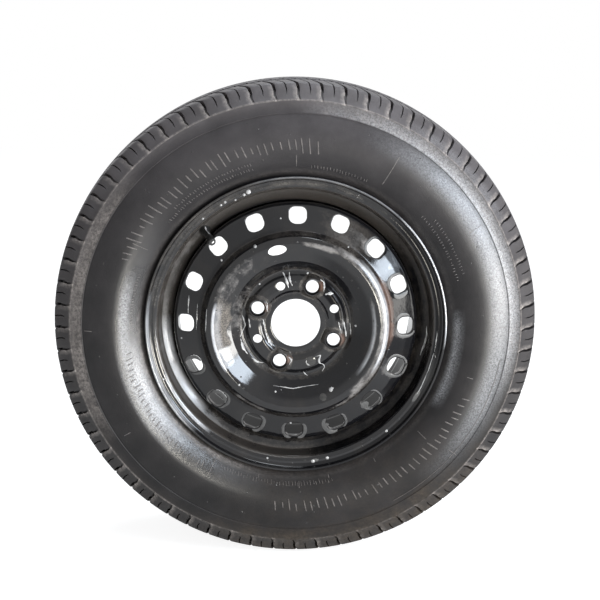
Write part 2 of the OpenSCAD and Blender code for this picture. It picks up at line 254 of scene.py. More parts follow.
def open_grid(rows):
    """Vertices and faces of rows of points that close on neither side."""
    points = np.stack(rows)
    return points.reshape(-1, 3), grid_faces(*points.shape[:2], False, False)


def lathe(section, count):
    """Vertices and faces of a closed section turned round the axle line."""
    angles = np.arange(count) * 2 * math.pi / count
    verts = placed(section[:, :1], section[:, 1:], angles[None, :]).reshape(-1, 3)
    return verts, grid_faces(len(section), count)


class Grids:
    """Rows of points that close round, gathered as vertices and faces."""

    def __init__(self):
        self.verts, self.faces, self.count = [], [], 0

    def add(self, rows):
        points = np.stack(rows)
        self.verts.append(points.reshape(-1, 3))
        self.faces.append(grid_faces(*points.shape[:2], close_rows=False, first=self.count))
        self.count += len(self.verts[-1])


# Materials


class Nodes:
    """A short way to write the node tree of a material or of the world."""

    def __init__(self, owner):
        owner.use_nodes = True
        self.owner = owner
        self.tree = owner.node_tree
        self.shader = self.tree.nodes.get("Principled BSDF")

    def add(self, kind, inputs=(), **settings):
        node = self.tree.nodes.new("ShaderNode" + kind)
        for key, value in settings.items():
            setattr(node, key, value)
        for key, value in dict(inputs).items():
            self.link(value, node.inputs[key])
        return node

    def link(self, value, socket):
        if isinstance(value, bpy.types.NodeSocket):
            self.tree.links.new(value, socket)
        elif isinstance(value, bpy.types.Node):
            self.tree.links.new(value.outputs[0], socket)
        else:
            socket.default_value = value

    def set(self, **inputs):
        for key, value in inputs.items():
            name = key.replace("_", " ").title().replace("Ior", "IOR")
            self.link(value, self.shader.inputs[name])

    def math(self, operation, a, b=0.0, clamp=False):
        return self.add("Math", {0: a, 1: b}, operation=operation, use_clamp=clamp).outputs[0]

    def times(self, a, b, clamp=False):
        return self.math("MULTIPLY", a, b, clamp)

    def plus(self, a, b, clamp=False):
        return self.math("ADD", a, b, clamp)

    def noise(self, scale, detail=2.0, roughness=0.5, vector=None):
        vector = vector or self.add("TexCoord").outputs["Object"]
        inputs = {"Scale": scale, "Detail": detail, "Roughness": roughness, "Vector": vector}
        return self.add("TexNoise", inputs).outputs["Fac"]

    def ramp(self, value, low, high, to_low=0.0, to_high=1.0):
        return self.add("MapRange", {"Value": value, "From Min": low, "From Max": high,
                                     "To Min": to_low, "To Max": to_high}).outputs[0]

    def mix(self, factor, a, b):
        node = self.add("Mix", data_type="RGBA")
        self.link(factor, node.inputs["Factor"])
        self.link(a, node.inputs[6])
        self.link(b, node.inputs[7])
        return node.outputs[2]

    def films(self, colour, layers):
        """Lays films over a colour, each as (amount, texture, dark colour, light colour)."""
        for amount, texture, dark, light in layers:
            colour = self.mix(amount, colour, self.mix(texture, dark, light))
        return colour

    def attribute(self, name):
        return self.add("Attribute", attribute_name=name).outputs["Fac"]

    def bump(self, height, distance, strength=1.0, normal=None):
        inputs = {"Height": height, "Distance": distance, "Strength": strength}
        if normal is not None:
            inputs["Normal"] = normal
        return self.add("Bump", inputs).outputs[0]

    def white_where_seen(self, shade, white):
        """Mixes in white where the camera, a reflection or a refraction sees the surface."""
        path = self.add("LightPath")
        seen = path.outputs["Is Camera Ray"]
        for name in ("Is Glossy Ray", "Is Transmission Ray"):
            seen = self.math("MAXIMUM", seen, path.outputs[name])
        return self.add("MixShader", {0: seen, 1: shade, 2: white})


def new_material(name):
    return Nodes(bpy.data.materials.new(name))


def rgba(colour, times=1.0):
    return (*(c * times for c in colour), 1)


def paint_material():
    """Gloss black over steel with orange peel, under films of rust, lime and dust, with painted highlights,
    painted reflections and painted shade, from attributes.
    """
    m = new_material("wheel_paint")
    blotch = m.noise(1.0, 6, 0.65, m.add("Attribute", attribute_name="swirl").outputs["Vector"])
    fine = m.noise(420, 4, 0.6)
    grit = m.noise(480, 4, 0.75)
    spread = m.times(m.math("SUBTRACT", m.plus(m.times(blotch, 0.8), m.times(fine, 0.2)), 0.5), 1.3)

    def film(name):
        return m.ramp(m.plus(m.attribute(name), spread), 0.32, 0.74)

    rust, haze, dust, grain = film("rust"), film("haze"), film("dust"), film("grain")
    smear = m.ramp(m.noise(38, 6, 0.65), 0.50, 0.75)
    base = m.mix(m.times(smear, 0.5), (0.005, 0.005, 0.006, 1), (0.017, 0.014, 0.012, 1))
    # The haze film is lime, and on the disc's crown also a painted reflection.
    base = m.films(base, (
        (m.times(dust, 0.9), fine, (0.022, 0.019, 0.017, 1), (0.060, 0.053, 0.047, 1)),
        (rust, fine, (0.040, 0.021, 0.015, 1), (0.115, 0.066, 0.048, 1)),
        (haze, m.ramp(blotch, 0.3, 0.7), (0.075, 0.068, 0.063, 1), (0.20, 0.19, 0.185, 1)),
        (grain, m.ramp(grit, 0.40, 0.66), (0.022, 0.018, 0.015, 1), (0.19, 0.165, 0.14, 1))))
    # The pale layer is painted highlights and painted reflections, mixed towards light grey.
    pale = m.times(m.attribute("pale"), m.ramp(blotch, 0.25, 0.55, 0.55, 1.0))
    base = m.mix(pale, base, (0.62, 0.63, 0.66, 1))
    rough = m.plus(0.07, m.times(smear, 0.10))
    for part, much in ((rust, 0.3), (haze, 0.22), (dust, 0.25), (grain, 0.5)):
        rough = m.plus(rough, m.times(part, much), clamp=True)
    peel = m.bump(m.noise(210, 2), 0.0003, 0.13)
    # The dull layer lowers the paint's reflection to darken it: painted shade.
    gloss = m.ramp(m.attribute("dull"), 0, 1, 0.5, 0.0)
    relief = m.bump(m.times(grain, grit), 0.0006, 0.5, peel)
    m.set(base_color=base, roughness=rough, specular_ior_level=gloss, normal=relief)
    return m.owner


def tyre_material():
    """Charcoal rubber with pale scuffs, brown dust, painted light as a lighter grey towards the top, painted
    highlights and a wet shine from attributes.
    """
    m = new_material("tyre_rubber")
    broad = m.noise(26, 5, 0.6)
    speckle = m.ramp(m.noise(300, 5, 0.7), 0.32, 0.68)
    grit = m.ramp(m.noise(520, 5, 0.8), 0.38, 0.62)
    scuff = m.times(m.attribute("scuff"), m.ramp(m.noise(70, 5, 0.65), 0.30, 0.60, 0.35, 1.0), clamp=True)
    dust = m.times(m.attribute("dust"), m.ramp(m.noise(48, 5, 0.65), 0.30, 0.70), clamp=True)
    # Painted light: a lighter grey towards the tyre's top and on its ribs.
    bloom = m.times(m.attribute("bloom"), m.ramp(broad, 0.3, 0.7, 0.6, 1.0))
    shine = m.attribute("shine")
    colour = m.mix(m.ramp(broad, 0.35, 0.7), (0.007, 0.0065, 0.007, 1), (0.016, 0.0145, 0.015, 1))
    colour = m.mix(bloom, colour, (0.085, 0.078, 0.082, 1))
    # The pale layer is painted highlights and painted reflections; the scuff layer is scuffs, with painted
    # highlights on the ring line and the blocks' cut edges.
    colour = m.films(colour, (
        (m.attribute("pale"), grit, (0.10, 0.10, 0.105, 1), (0.66, 0.67, 0.70, 1)),
        (scuff, speckle, (0.085, 0.076, 0.072, 1), (0.50, 0.45, 0.42, 1)),
        (dust, speckle, (0.014, 0.011, 0.0085, 1), (0.046, 0.036, 0.028, 1))))
    rough = m.math("SUBTRACT", m.ramp(m.noise(36, 4), 0.3, 0.7, 0.44, 0.56), m.times(shine, 0.25))
    relief = m.bump(grit, 0.0003, 0.2)
    relief = m.bump(m.noise(110, 4), 0.0006, 0.3, relief)
    relief = m.bump(speckle, 0.0008, m.times(scuff, 0.6), relief)
    relief = m.bump(m.noise(1500, 3, 0.6), 0.0002, 0.35, relief)
    gloss = m.ramp(shine, 0, 1, 0.24, 0.75)
    m.set(base_color=colour, roughness=rough, specular_ior_level=gloss, normal=relief)
    return m.owner


def mottled_material(name, colours, rough, noises, depth, strength):
    """A surface mottled between two colours. The noises are those of its colour, roughness and relief."""
    m = new_material(name)
    mottle, gloss, relief = (m.noise(*noise) for noise in noises)
    m.set(base_color=m.mix(mottle, *colours), roughness=m.ramp(gloss, 0.3, 0.7, *rough),
          normal=m.bump(relief, depth, strength))
    return m.owner


def film_material(name, dark, light, rough=0.2):
    """A glossy film between two grey levels, the darker one a little warm. Pale, it is painted highlights
    and glints; dark, dirty water and painted shade.
    """
    return mottled_material(name, (rgba((1, 0.96, 0.93), dark), rgba((1, 1, 1), light)),
                            (rough - 0.08, rough + 0.1), ((500, 4), (700, 3), (900, 2)), 0.0002, 0.4)


def water_material():
    """A drop on black: as dark as what is under it, with its own glint."""
    return mottled_material("water_drops", ((0.012, 0.012, 0.012, 1), (0.05, 0.048, 0.045, 1)), (0.03, 0.08),
                            ((300, 2), (500, 2), (1200, 2)), 0.00005, 0.2)


def rubber_material(name, colour, rough=0.5):
    return mottled_material(name, (rgba(colour), rgba(colour, 1.8)), (rough - 0.06, rough + 0.06),
                            ((500, 3), (300, 2), (2500, 2)), 0.0001, 0.3)


def metal_material(name, colour, rough):
    m = new_material(name)
    stain = m.ramp(m.noise(700, 4, 0.6), 0.45, 0.7)
    m.set(base_color=m.mix(stain, rgba(colour), rgba(colour, 0.45)), metallic=1.0,
          roughness=m.ramp(stain, 0, 1, rough, rough + 0.2), normal=m.bump(m.noise(3000, 2), 0.00005, 0.3))
    return m.owner


# Wear


def band(value, low, high, soft):
    """1 between low and high, falling to 0 over soft."""
    return np.clip(np.minimum(value - low, high - value) / soft + 0.5, 0, 1)


def arc(angle, start, end, soft):
    """1 between two angles in degrees, falling to 0 over soft."""
    middle, half = (start + end) / 2, (end - start) / 2
    away = np.abs((angle - middle + 180) % 360 - 180)
    return np.clip((half - away) / soft + 0.5, 0, 1)


def flat_place(r, angle):
    """Where radius r at an angle in degrees lies on the face, as (right, up)."""
    return r * math.cos(math.radians(angle)), r * math.sin(math.radians(angle))


class Wear:
    """Where a piece's vertices lie, and the layers that its material reads."""

    def __init__(self, obj):
        co = np.empty(len(obj.data.vertices) * 3, np.float32)
        obj.data.vertices.foreach_get("co", co)
        x, y, z = co.reshape(-1, 3).astype(float).T / MM
        self.attributes = obj.data.attributes
        self.radius, self.around, self.height = np.hypot(x, z), np.degrees(np.arctan2(z, x)) % 360, -y

    def patch(self, much, radii, angles):
        """much between two radii and two angles, each as (start, end, softness)."""
        return much * band(self.radius, *radii) * arc(self.around, *angles)

    def patches(self, *rows):
        return sum(self.patch(*row) for row in rows)

    def near(self, place, reach):
        """1 at a place on the face, falling to 0 at reach millimetres from it."""
        turn = np.radians(self.around)
        away = np.hypot(self.radius * np.cos(turn) - place[0], self.radius * np.sin(turn) - place[1])
        return np.clip(1.6 * (1 - away / reach), 0, 1)

    def write(self, **layers):
        """One number per vertex for each layer."""
        for name, values in layers.items():
            layer = self.attributes.new(name, "FLOAT", "POINT")
            layer.data.foreach_set("value", (np.zeros_like(self.radius) + values).astype(np.float32))

    def write_swirl(self):
        """Coordinates that stretch the films round the wheel."""
        turn = np.radians(self.around)
        reach = np.stack([self.radius / 9, 7 * np.cos(turn), 7 * np.sin(turn)], -1)
        layer = self.attributes.new("swirl", "FLOAT_VECTOR", "POINT")
        layer.data.foreach_set("vector", reach.astype(np.float32).ravel())


# Rim

# Where the rim's outboard side begins, and how dull the back of rim and disc is, above and at its foot, its
# lower half; the duller reflection there is painted shade
FRONT_Z = 33.0
BACK_DULL = 0.3
FOOT_DULL = 0.965


def rim_path():
    half = RIM_T / 2
    lip_r, flange_z = LIP_R - half, FLANGE_Z + half
    seat_r = SEAT_R - half
    seat_fall, seat_end = SEAT_W * math.tan(SEAT_TAPER), FLANGE_Z - SEAT_W
    well_r = WELL_R + half
    curl = FLANGE_CURL - half
    curl_reach = curl / math.tan(math.radians(45) - math.atan2(LIP_DROOP, LIP_Z - FLANGE_Z - half) / 2)
    corner = (LIP_R - SEAT_R - curl_reach - 0.4) * math.tan(math.radians(45) + SEAT_TAPER / 2)
    lip_end = LIP_Z - half * 0.12
    return rounded([
        (lip_r - LIP_DROOP, lip_end, 0), (lip_r, flange_z, curl), (seat_r, flange_z, corner),
        (seat_r - seat_fall, seat_end, 4), (well_r, WELL_TOP, 5), (well_r, -WELL_BOTTOM, 8),
        (seat_r - seat_fall, -seat_end, 10), (seat_r, -flange_z, corner),
        (lip_r, -flange_z, curl), (lip_r - LIP_DROOP, -lip_end, 0),
    ])


def rim_wear(wear):
    """Dust and haze on the outboard wall and flange, painted highlights on its lip and wall, painted shade
    on its right side, and the dull back.
    """
    radius, around, height = wear.radius, wear.around, wear.height
    front = height > FRONT_Z
    low, outer = band(height, FRONT_Z, 60, 1), band(height, FRONT_Z, 80, 1)
    wall = band(radius, 146, 163, 2) * low
    flange = band(radius, 165, 178, 1) * band(height, 63, 80, 1)
    corner = 0.8 * band(radius, 158.5, 164.5, 1.5) * outer * (1 - 0.7 * arc(around, 280, 350, 14))
    corner += 0.5 * band(radius, 145.5, 150, 1.5) * low
    dust = wall * (0.42 + 0.45 * arc(around, 40, 178, 20)) + 0.5 * flange * arc(around, 60, 175, 25)
    corner_haze = wear.patch(0.3, (160, 166, 2), (130, 200, 20)) * band(height, 36, 80, 1)
    wall_haze = wear.patch(0.36, (150, 163, 3), (128, 186, 14)) * low
    # Painted highlights on the lip and flange, and on the wall at the left, in the pale layer.
    painted_highlight = wear.patches(
        (0.95, (175.2, 177.2, 0.5), (-4, 45, 8)), (0.25, (175.2, 177.2, 0.5), (45, 105, 14)),
        (0.7, (164.5, 167.5, 1), (203, 230, 6)), (0.5, (173, 175.5, 1), (172, 222, 12)),
        (0.3, (175, 177.5, 1), (196, 222, 8)))
    painted_highlight += wear.patch(0.75, (151, 159, 2), (182, 222, 10)) * band(height, FRONT_Z, 50, 1)
    # Painted shade: a duller reflection on the right of the wall and flange.
    shade = 0.75 * wall * arc(around, 280, 410, 16)
    shade += wear.patches((0.45, (170, 177.5, 1), (270, 330, 14)), (0.7, (165, 172.5, 1), (-14, 48, 12)))
    # The back is dull, most along its lower half, as painted shade.
    back = BACK_DULL + (FOOT_DULL - BACK_DULL) * arc(around, 186, 354, 8)
    wear.write(dust=np.maximum(dust, corner), haze=np.maximum(corner_haze, wall_haze),
               rust=0.15 * flange * arc(around, 60, 100, 15), pale=painted_highlight * front,
               dull=np.where(front, shade, back))
    wear.write_swirl()


def rim(material):
    verts, faces = lathe(sheet(subdivide(rim_path(), 5), RIM_T), 360)
    rim_wear(Wear(mesh_object("rim_band", verts, faces, material, slot="wheel_paint", replaces=["rim"])))


# Wheel disc


def disc_path():
    vent_z = SHOULDER_Z + (SKIRT_R - VALLEY_R) * VENT_FALL
    return rounded([
        (HUB_R, MOUNT_Z, 0), (STUD_R - 11, MOUNT_Z, 5), (STUD_R - 6, BULGE_Z, 5), (STUD_R + 6, BULGE_Z, 5),
        (STUD_R + 11.5, MOUNT_Z, 5), (MOUNT_RING_R, MOUNT_Z, 6), (*CREASE, 3), (*CROWN, 9),
        (VALLEY_R, vent_z, 7), (SKIRT_R, SHOULDER_Z, 4.5), (SKIRT_R, SKIRT_END, 0),
    ], math.radians(5))


class Sheet:
    """The disc as a sheet: distances run along its middle line from the hub, and side is -1 to 1."""

    def __init__(self, path, t):
        self.path, self.t, self.n = path, t, normals(path)
        self.s = np.concatenate([[0], np.cumsum(np.linalg.norm(np.diff(path, axis=0), axis=1))])
        self.end = self.s[-1]

    def along(self, r):
        """Distance along the line where it first reaches radius r."""
        k = int(np.argmax(self.path[:, 0] >= r))
        (a, b), (sa, sb) = self.path[k - 1:k + 1, 0], self.s[k - 1:k + 1]
        return sa + (sb - sa) * (r - a) / (b - a)

    def stretch(self, a, b, longest):
        """Distances from a to b through every bend point between them, none further apart than longest."""
        inner = self.s[(self.s > a + 0.05) & (self.s < b - 0.05)]
        return subdivide(np.array([a, *inner, b])[:, None], longest)[:, 0]

    def at(self, s, side):
        """Radius and height of points at distances s along the line, on that side."""
        half = np.asarray(side) * self.t / 2
        return [np.interp(s, self.s, middle) + np.interp(s, self.s, normal) * half
                for middle, normal in zip(self.path.T, self.n.T)]

    def height(self, r, side):
        """Height of the sheet's side at radius r, inside radius 120, where it is not steep."""
        return np.interp(r, *self.at(self.s[self.s < self.along(120)], side))


def vent_outline():
    """A vent's outline as (outward, sideways) offsets from its middle, a fine closed line."""
    h, a, b = VENT_HALF, VENT_CORNER, VENT_INNER_CORNER
    corners = ((b - h, b - h, b, 180), (h - a, a - h, a, 270), (h - a, h - a, a, 0), (b - h, h - b, b, 90))
    out = []
    for x, y, r, start in corners:
        quarter = np.radians(np.linspace(start, start + 90, 19))
        out += [(x + r * math.cos(t), y + r * math.sin(t)) for t in quarter]
    return subdivide(np.array(out + out[:1]), 0.3)


def at_directions(outline, directions):
    """Points of a closed line round the origin that lie in these directions."""
    angle = np.unwrap(np.arctan2(outline[:, 1], outline[:, 0]))
    turned = (directions - angle[0]) % (2 * math.pi)
    reach = np.interp(turned, angle - angle[0], np.linalg.norm(outline, axis=1))
    return np.stack([reach * np.cos(directions), reach * np.sin(directions)], -1)


def cell_boundary(r0, r1, half_angle, arcs, sides):
    """The edge of a sector as (radius, turn): inner arc, side, outer arc, side."""
    turn = np.linspace(-half_angle, half_angle, arcs + 1)
    rise = np.linspace(r0, r1, sides + 1)
    loop = [(r0, t) for t in turn[:-1]] + [(r, half_angle) for r in rise[:-1]]
    loop += [(r1, t) for t in turn[:0:-1]] + [(r, -half_angle) for r in rise[:0:-1]]
    return np.array(loop)


# Vertices round the disc, the radii between which the cells of its stud ring lie, how far the cells of its
# vents reach past them, and the rows of a cut edge as (distance from the edge, side)
DISC_COLUMNS = 320
STUD_CELLS = (35.9, 63.0)
VENT_MARGINS = (3.0, 1.6)
EASE = 0.8
EDGE = [(EASE, 1.0), (0.25, 0.93), (0.0, 0.7), (0.0, -0.7), (0.25, -0.93), (EASE, -1.0)]


def collar_height(d):
    """Height of a nut seat and its collar at distance d from the stud hole's middle."""
    cone = BULGE_Z + (d - STUD_HOLE_R) / math.tan(math.radians(30))
    face = BULGE_Z + NUT_FACE_H
    slope = face - (d - NUT_MOUTH_R - 0.9) * 1.2
    return np.minimum(np.minimum(cone, face), slope)


def smooth_max(a, b, k=0.5):
    h = np.clip(0.5 + 0.5 * (a - b) / k, 0, 1)
    return b + (a - b) * h + k * h * (1 - h)


def vent_cells(disc):
    """Where the cells of the vents start and end along the disc's middle line."""
    middle = disc.along(VENT_R)
    return middle - VENT_HALF - VENT_MARGINS[0], middle + VENT_HALF + VENT_MARGINS[1]


def plain_rings(disc, grids):
    """The disc's stretches without holes, and its two cut edges."""
    turn = np.arange(DISC_COLUMNS) * 2 * math.pi / DISC_COLUMNS

    def ring(s, side):
        r, z = disc.at(s, side)
        grids.add(placed(r[:, None], z[:, None], turn))

    vent_in, vent_out = vent_cells(disc)
    stud_in, stud_out = (disc.along(r) for r in STUD_CELLS)
    for side in (1, -1):
        ring(disc.stretch(EASE, stud_in, 2.5), side)
        ring(disc.stretch(stud_out, vent_in, 2.5), side)
        ring(disc.stretch(vent_out, disc.end - EASE, 5), side)
    cut, sides = np.array(EDGE).T
    ring(cut, sides)
    ring(disc.end - cut, sides)


def vents(disc, grids):
    """The cells round the vents. Offsets are (along the middle line, sideways) from a vent's middle."""
    middle = disc.along(VENT_R)
    half_cell = math.pi / VENT_COUNT
    loop = cell_boundary(*vent_cells(disc), half_cell, DISC_COLUMNS // VENT_COUNT, 12)
    edge = np.stack([loop[:, 0] - middle, loop[:, 1] * disc.at(loop[:, 0], 0)[0]], -1)
    hole = at_directions(vent_outline(), np.arctan2(edge[:, 1], edge[:, 0]))
    reach = np.linalg.norm(hole, axis=1)[:, None]
    start = hole * (1 + EASE / reach)

    def row(offset, side, angle):
        s = middle + offset[:, 0]
        return placed(*disc.at(s, side), angle + offset[:, 1] / disc.at(s, 0)[0])

    for k in range(VENT_COUNT):
        angle = 2 * half_cell * k
        for side in (1, -1):
            grids.add([row(start + (edge - start) * t, side, angle) for t in (0, 0.12, 0.3, 0.55, 0.8, 1)])
        grids.add([row(hole * (1 + e / reach), side, angle) for e, side in EDGE])


def hole_rows(disc, edge, seat):
    """Rows round a stud hole with its seat, or round a small hole, as (radius, height, turn).

    They are those of the outboard side, of the back and of the hole's wall.
    """
    direction = edge / np.linalg.norm(edge, axis=1)[:, None]

    def row(offset, side):
        r = np.hypot(STUD_R + offset[:, 0], offset[:, 1])
        z = disc.height(r, side)
        if seat and side > 0:
            z = smooth_max(z, collar_height(np.hypot(*offset.T)))
        return r, z, np.arctan2(offset[:, 1], STUD_R + offset[:, 0])

    def wall_row(d, z):
        r, _, turn = row(direction * d, -1)
        return r, z, turn

    def face(distances, side, steps):
        start = direction * distances[-1]
        out = [start + (edge - start) * t for t in np.linspace(0, 1, steps + 1)[1:]]
        return [row(direction * d, side) for d in distances] + [row(offset, side) for offset in out]

    if seat:
        upper = face((STUD_HOLE_R + 0.5, 9.3, NUT_MOUTH_R, 9.9, 10.35, 10.8, 11.5, 12.3), 1, 8)
        lower = face((STUD_HOLE_R + 0.7, 9, 10.5), -1, 8)
        wall = [upper[0], wall_row(STUD_HOLE_R, BULGE_Z), wall_row(STUD_HOLE_R, BULGE_Z - 0.7),
                row(direction * (STUD_HOLE_R + 0.2), -1), lower[0]]
        return upper, lower, wall
    upper, lower = (face((SMALL_HOLE_R + 0.7, 6.8, 8), side, 9) for side in (1, -1))
    steps = ((0.2, 1.85), (0, 1.3), (0, -1.3), (0.2, -1.85))
    return upper, lower, [upper[0], *(wall_row(SMALL_HOLE_R + d, BULGE_Z + z) for d, z in steps), lower[0]]


def stud_ring(disc, grids):
    """The cells round the stud holes and the small holes between them."""
    cells = 2 * STUD_COUNT
    half_cell = math.pi / cells
    loop_r, loop_turn = cell_boundary(*STUD_CELLS, half_cell, DISC_COLUMNS // cells, 18).T
    edge = np.stack([loop_r * np.cos(loop_turn) - STUD_R, loop_r * np.sin(loop_turn)], -1)
    for k in range(cells):
        angle = half_cell * (2 * k + 1)
        for rows in hole_rows(disc, edge, seat=k % 2 == 1):
            grids.add([placed(r, z, angle + turn) for r, z, turn in rows])


def from_stud(r, angle):
    """Distance on the face from the nearest stud hole's middle, at an angle in degrees."""
    turn = np.radians(angle - STUD_TURN - np.round((angle - STUD_TURN) / 90) * 90)
    return np.hypot(r * np.cos(turn) - STUD_R, r * np.sin(turn))


def lime_and_painted_reflection(wear, cut):
    """Lime on the crown and in the valley, and beside the edges of the vents. The broad bands on the crown's
    right and top are painted reflections, and the pale cut edges of the lower and right vents are painted
    highlights.
    """
    # The first two rows, on the crown's right, and the fourth, at its top, are painted reflections.
    haze = wear.patches(
        (0.6, (99, 108.5, 4), (-52, 66, 16)), (0.5, (91, 96, 3), (-22, 24, 16)),
        (0.42, (84, 103, 5), (122, 165, 18)), (0.66, (96, 102.5, 3), (64, 88, 8)),
        (0.7, (107, 111, 2), (228, 254, 8)), (0.42, (64, 80, 6), (142, 192, 16)),
        (0.45, (106.5, 112, 3), (285, 350, 18)))
    # Painted highlight: the cut edges of the lower and right vents painted pale.
    haze = np.maximum(haze, 0.62 * cut * arc(wear.around, 190, 410, 20))
    for angle, reach in ((49, 15), (25.1667, 17), (-2, 17), (-25.5, 17)):
        haze = np.maximum(haze, 0.6 * wear.near(flat_place(VENT_R - 3, angle), reach))
    return haze * (1 - wear.patch(1, (116, 134, 2), (27.5, 41, 2)))


def disc_rust(wear):
    """Rust on the crown's right, and beside each stud hole."""
    rust = wear.patch(0.72, (107.5, 117, 5), (-14, 34, 20))
    for k in range(STUD_COUNT):
        x, y = flat_place(STUD_R, STUD_TURN + 90 * k)
        rust = np.maximum(rust, 0.75 * wear.near((x + 8, y + 1), 10))
    return rust


def disc_wear(wear, disc):
    """Rust, lime, dust and grime on the outboard face, painted highlights and painted reflections, painted
    shade as a duller reflection, and the dull back.
    """
    radius, around, height = wear.radius, wear.around, wear.height
    above = height - np.interp(radius, *disc.path[disc.s < disc.along(FACE_END_R + 1)].T)
    surface = 0.42 * DISC_T
    front = np.where(radius > FACE_END_R, height > SHOULDER_Z - 4, above > -surface)
    cut = (np.abs(above) < surface) & (radius > 115) & (radius < FACE_END_R + 1.5)
    ragged = radius + 2.4 * np.sin(np.radians(around * 11)) + 1.6 * np.sin(np.radians(around * 23))
    grain = 0.8 * band(ragged, 79, 97, 3) * np.minimum(arc(around, 160, 230, 16), arc(around, 130, 198.5, 4))
    # Painted highlights and reflections on the crown's edges and walls, in the pale layer.
    pale = wear.patches(
        (0.8, (96.5, 99.5, 1), (166, 212, 6)), (0.5, (84, 97, 2), (198, 212, 2)),
        (0.3, (90, 97, 4), (166, 199, 8)), (0.45, (107, 110, 1.5), (-24, 42, 14)),
        (0.9, (104.5, 107, 1.2), (-26, 44, 14)), (0.5, (91.5, 94, 1.2), (-34, 14, 10)))
    # Painted shade: a duller reflection on parts of the face.
    shade = wear.patches((0.45, (108, 117, 3), (100, 245, 20)), (0.22, (117, 141, 3), (100, 245, 20)))
    for row in ((0.45, (66, 90, 4), (250, 430, 20)), (0.25, (112, 141, 3), (245, 330, 20)),
                (0.85, (132.5, 143, 1.5), (-40, 62, 8)), (0.7, (114, 143, 1.5), (-20, 26.5, 1.5)),
                (0.7, (114, 143, 1.5), (41.5, 54, 1.5)), (0.85, (47, 64, 2), (4, 62, 8))):
        shade = np.maximum(shade, wear.patch(*row))
    dust = wear.patches((0.3, (60, 100, 8), (100, 200, 20)), (0.62, (104, 141, 6), (44, 78, 16)))
    folds = 0.5 * band(radius, 107.5, 114.5, 3) + 0.5 * band(radius, 64, 70, 2)
    folds += 0.45 * band(radius, 35, 39, 1.5)
    folds += 0.62 * band(from_stud(radius, around), NUT_MOUTH_R + 0.6, 16, 1.5)
    # The back is dull, most inside the skirt along its lower half, as painted shade.
    back = np.where(radius > 135, FOOT_DULL * arc(around, 188, 352, 6), BACK_DULL)
    wear.write(rust=disc_rust(wear) * front, haze=lime_and_painted_reflection(wear, cut) * front,
               grain=np.clip(grain, 0, 1) * front, pale=np.clip(pale, 0, 1) * front,
               dust=np.maximum(dust, folds) * front, dull=np.where(front, shade, back))
    wear.write_swirl()


def wheel_disc(material):
    disc = Sheet(disc_path(), DISC_T)
    grids = Grids()
    plain_rings(disc, grids)
    vents(disc, grids)
    stud_ring(disc, grids)
    verts, faces = np.vstack(grids.verts), np.vstack(grids.faces)
    obj = mesh_object("wheel_disc_pressing", verts, faces, material, sharp=50, weld=True, slot="wheel_paint",
                      replaces=["wheel_disc"])
    disc_wear(Wear(obj), disc)


# Faces that other things lie on, and what lies on them


class Skin:
    """The visible face of a turned piece, as heights over radius, for what lies on it."""

    def __init__(self, points):
        self.r, self.z = np.array(sorted(map(tuple, points))).T

    def height(self, r, angle=0.0):
        return np.interp(r, self.r, self.z)

    def point(self, r, angle, lift=0.0):
        """A place on the face, lifted square off it."""
        slope = (self.height(r + 0.4, angle) - self.height(r - 0.4, angle)) / 0.8
        n = 1 / np.hypot(slope, 1)
        return placed(r - slope * n * lift, self.height(r, angle) + n * lift, angle)


class DiscSkin(Skin):
    """The disc's face, with its nut seats."""

    def height(self, r, angle=0.0):
        base = np.interp(r, self.r, self.z)
        away = from_stud(r, np.degrees(angle))
        return np.where(away < 16, smooth_max(base, collar_height(away)), base)


def disc_face(kind=Skin):
    """The disc's outboard face, from its middle to the outer ends of the vents."""
    disc = Sheet(disc_path(), DISC_T)
    return kind(np.stack(disc.at(np.linspace(1, disc.along(FACE_END_R), 400), 1), -1))


def flange_face():
    """The flat of the outboard flange."""
    return Skin([(SEAT_R + 1.5, FLANGE_Z + RIM_T), (LIP_R - 5, FLANGE_Z + RIM_T)])


# How far the edges of drops, runs and films go under the face, and those of the relief on the sidewall
WET_EDGE = -0.06
RELIEF_EDGE = -0.15


def dome_faces(sides, rings):
    """Faces of a dome: its top vertex comes first, then its rings."""
    faces = [(0, 1 + i, 1 + (i + 1) % sides) for i in range(sides)]
    for a in range(1, (rings - 1) * sides, sides):
        b = a + sides
        faces += [(a + i, b + i, b + (i + 1) % sides, a + (i + 1) % sides) for i in range(sides)]
    return faces


def drop(skin, r, angle, size, tall=0.35, sides=10, stretch=1.0):
    """Vertices and faces of a drop at an angle in degrees: a low dome, stretched round the wheel."""
    angle = math.radians(angle)
    turn = np.arange(sides) * 2 * math.pi / sides
    verts = [skin.point(r, angle, size * tall)]
    shares = (0.35, 0.65, 0.88, 1.0)
    for share in shares:
        x, y = size * share * np.cos(turn), size * share * stretch * np.sin(turn)
        verts += list(skin.point(r + x, angle + y / r, size * tall * (1 - share ** 2) + WET_EDGE))
    return verts, dome_faces(sides, len(shares))


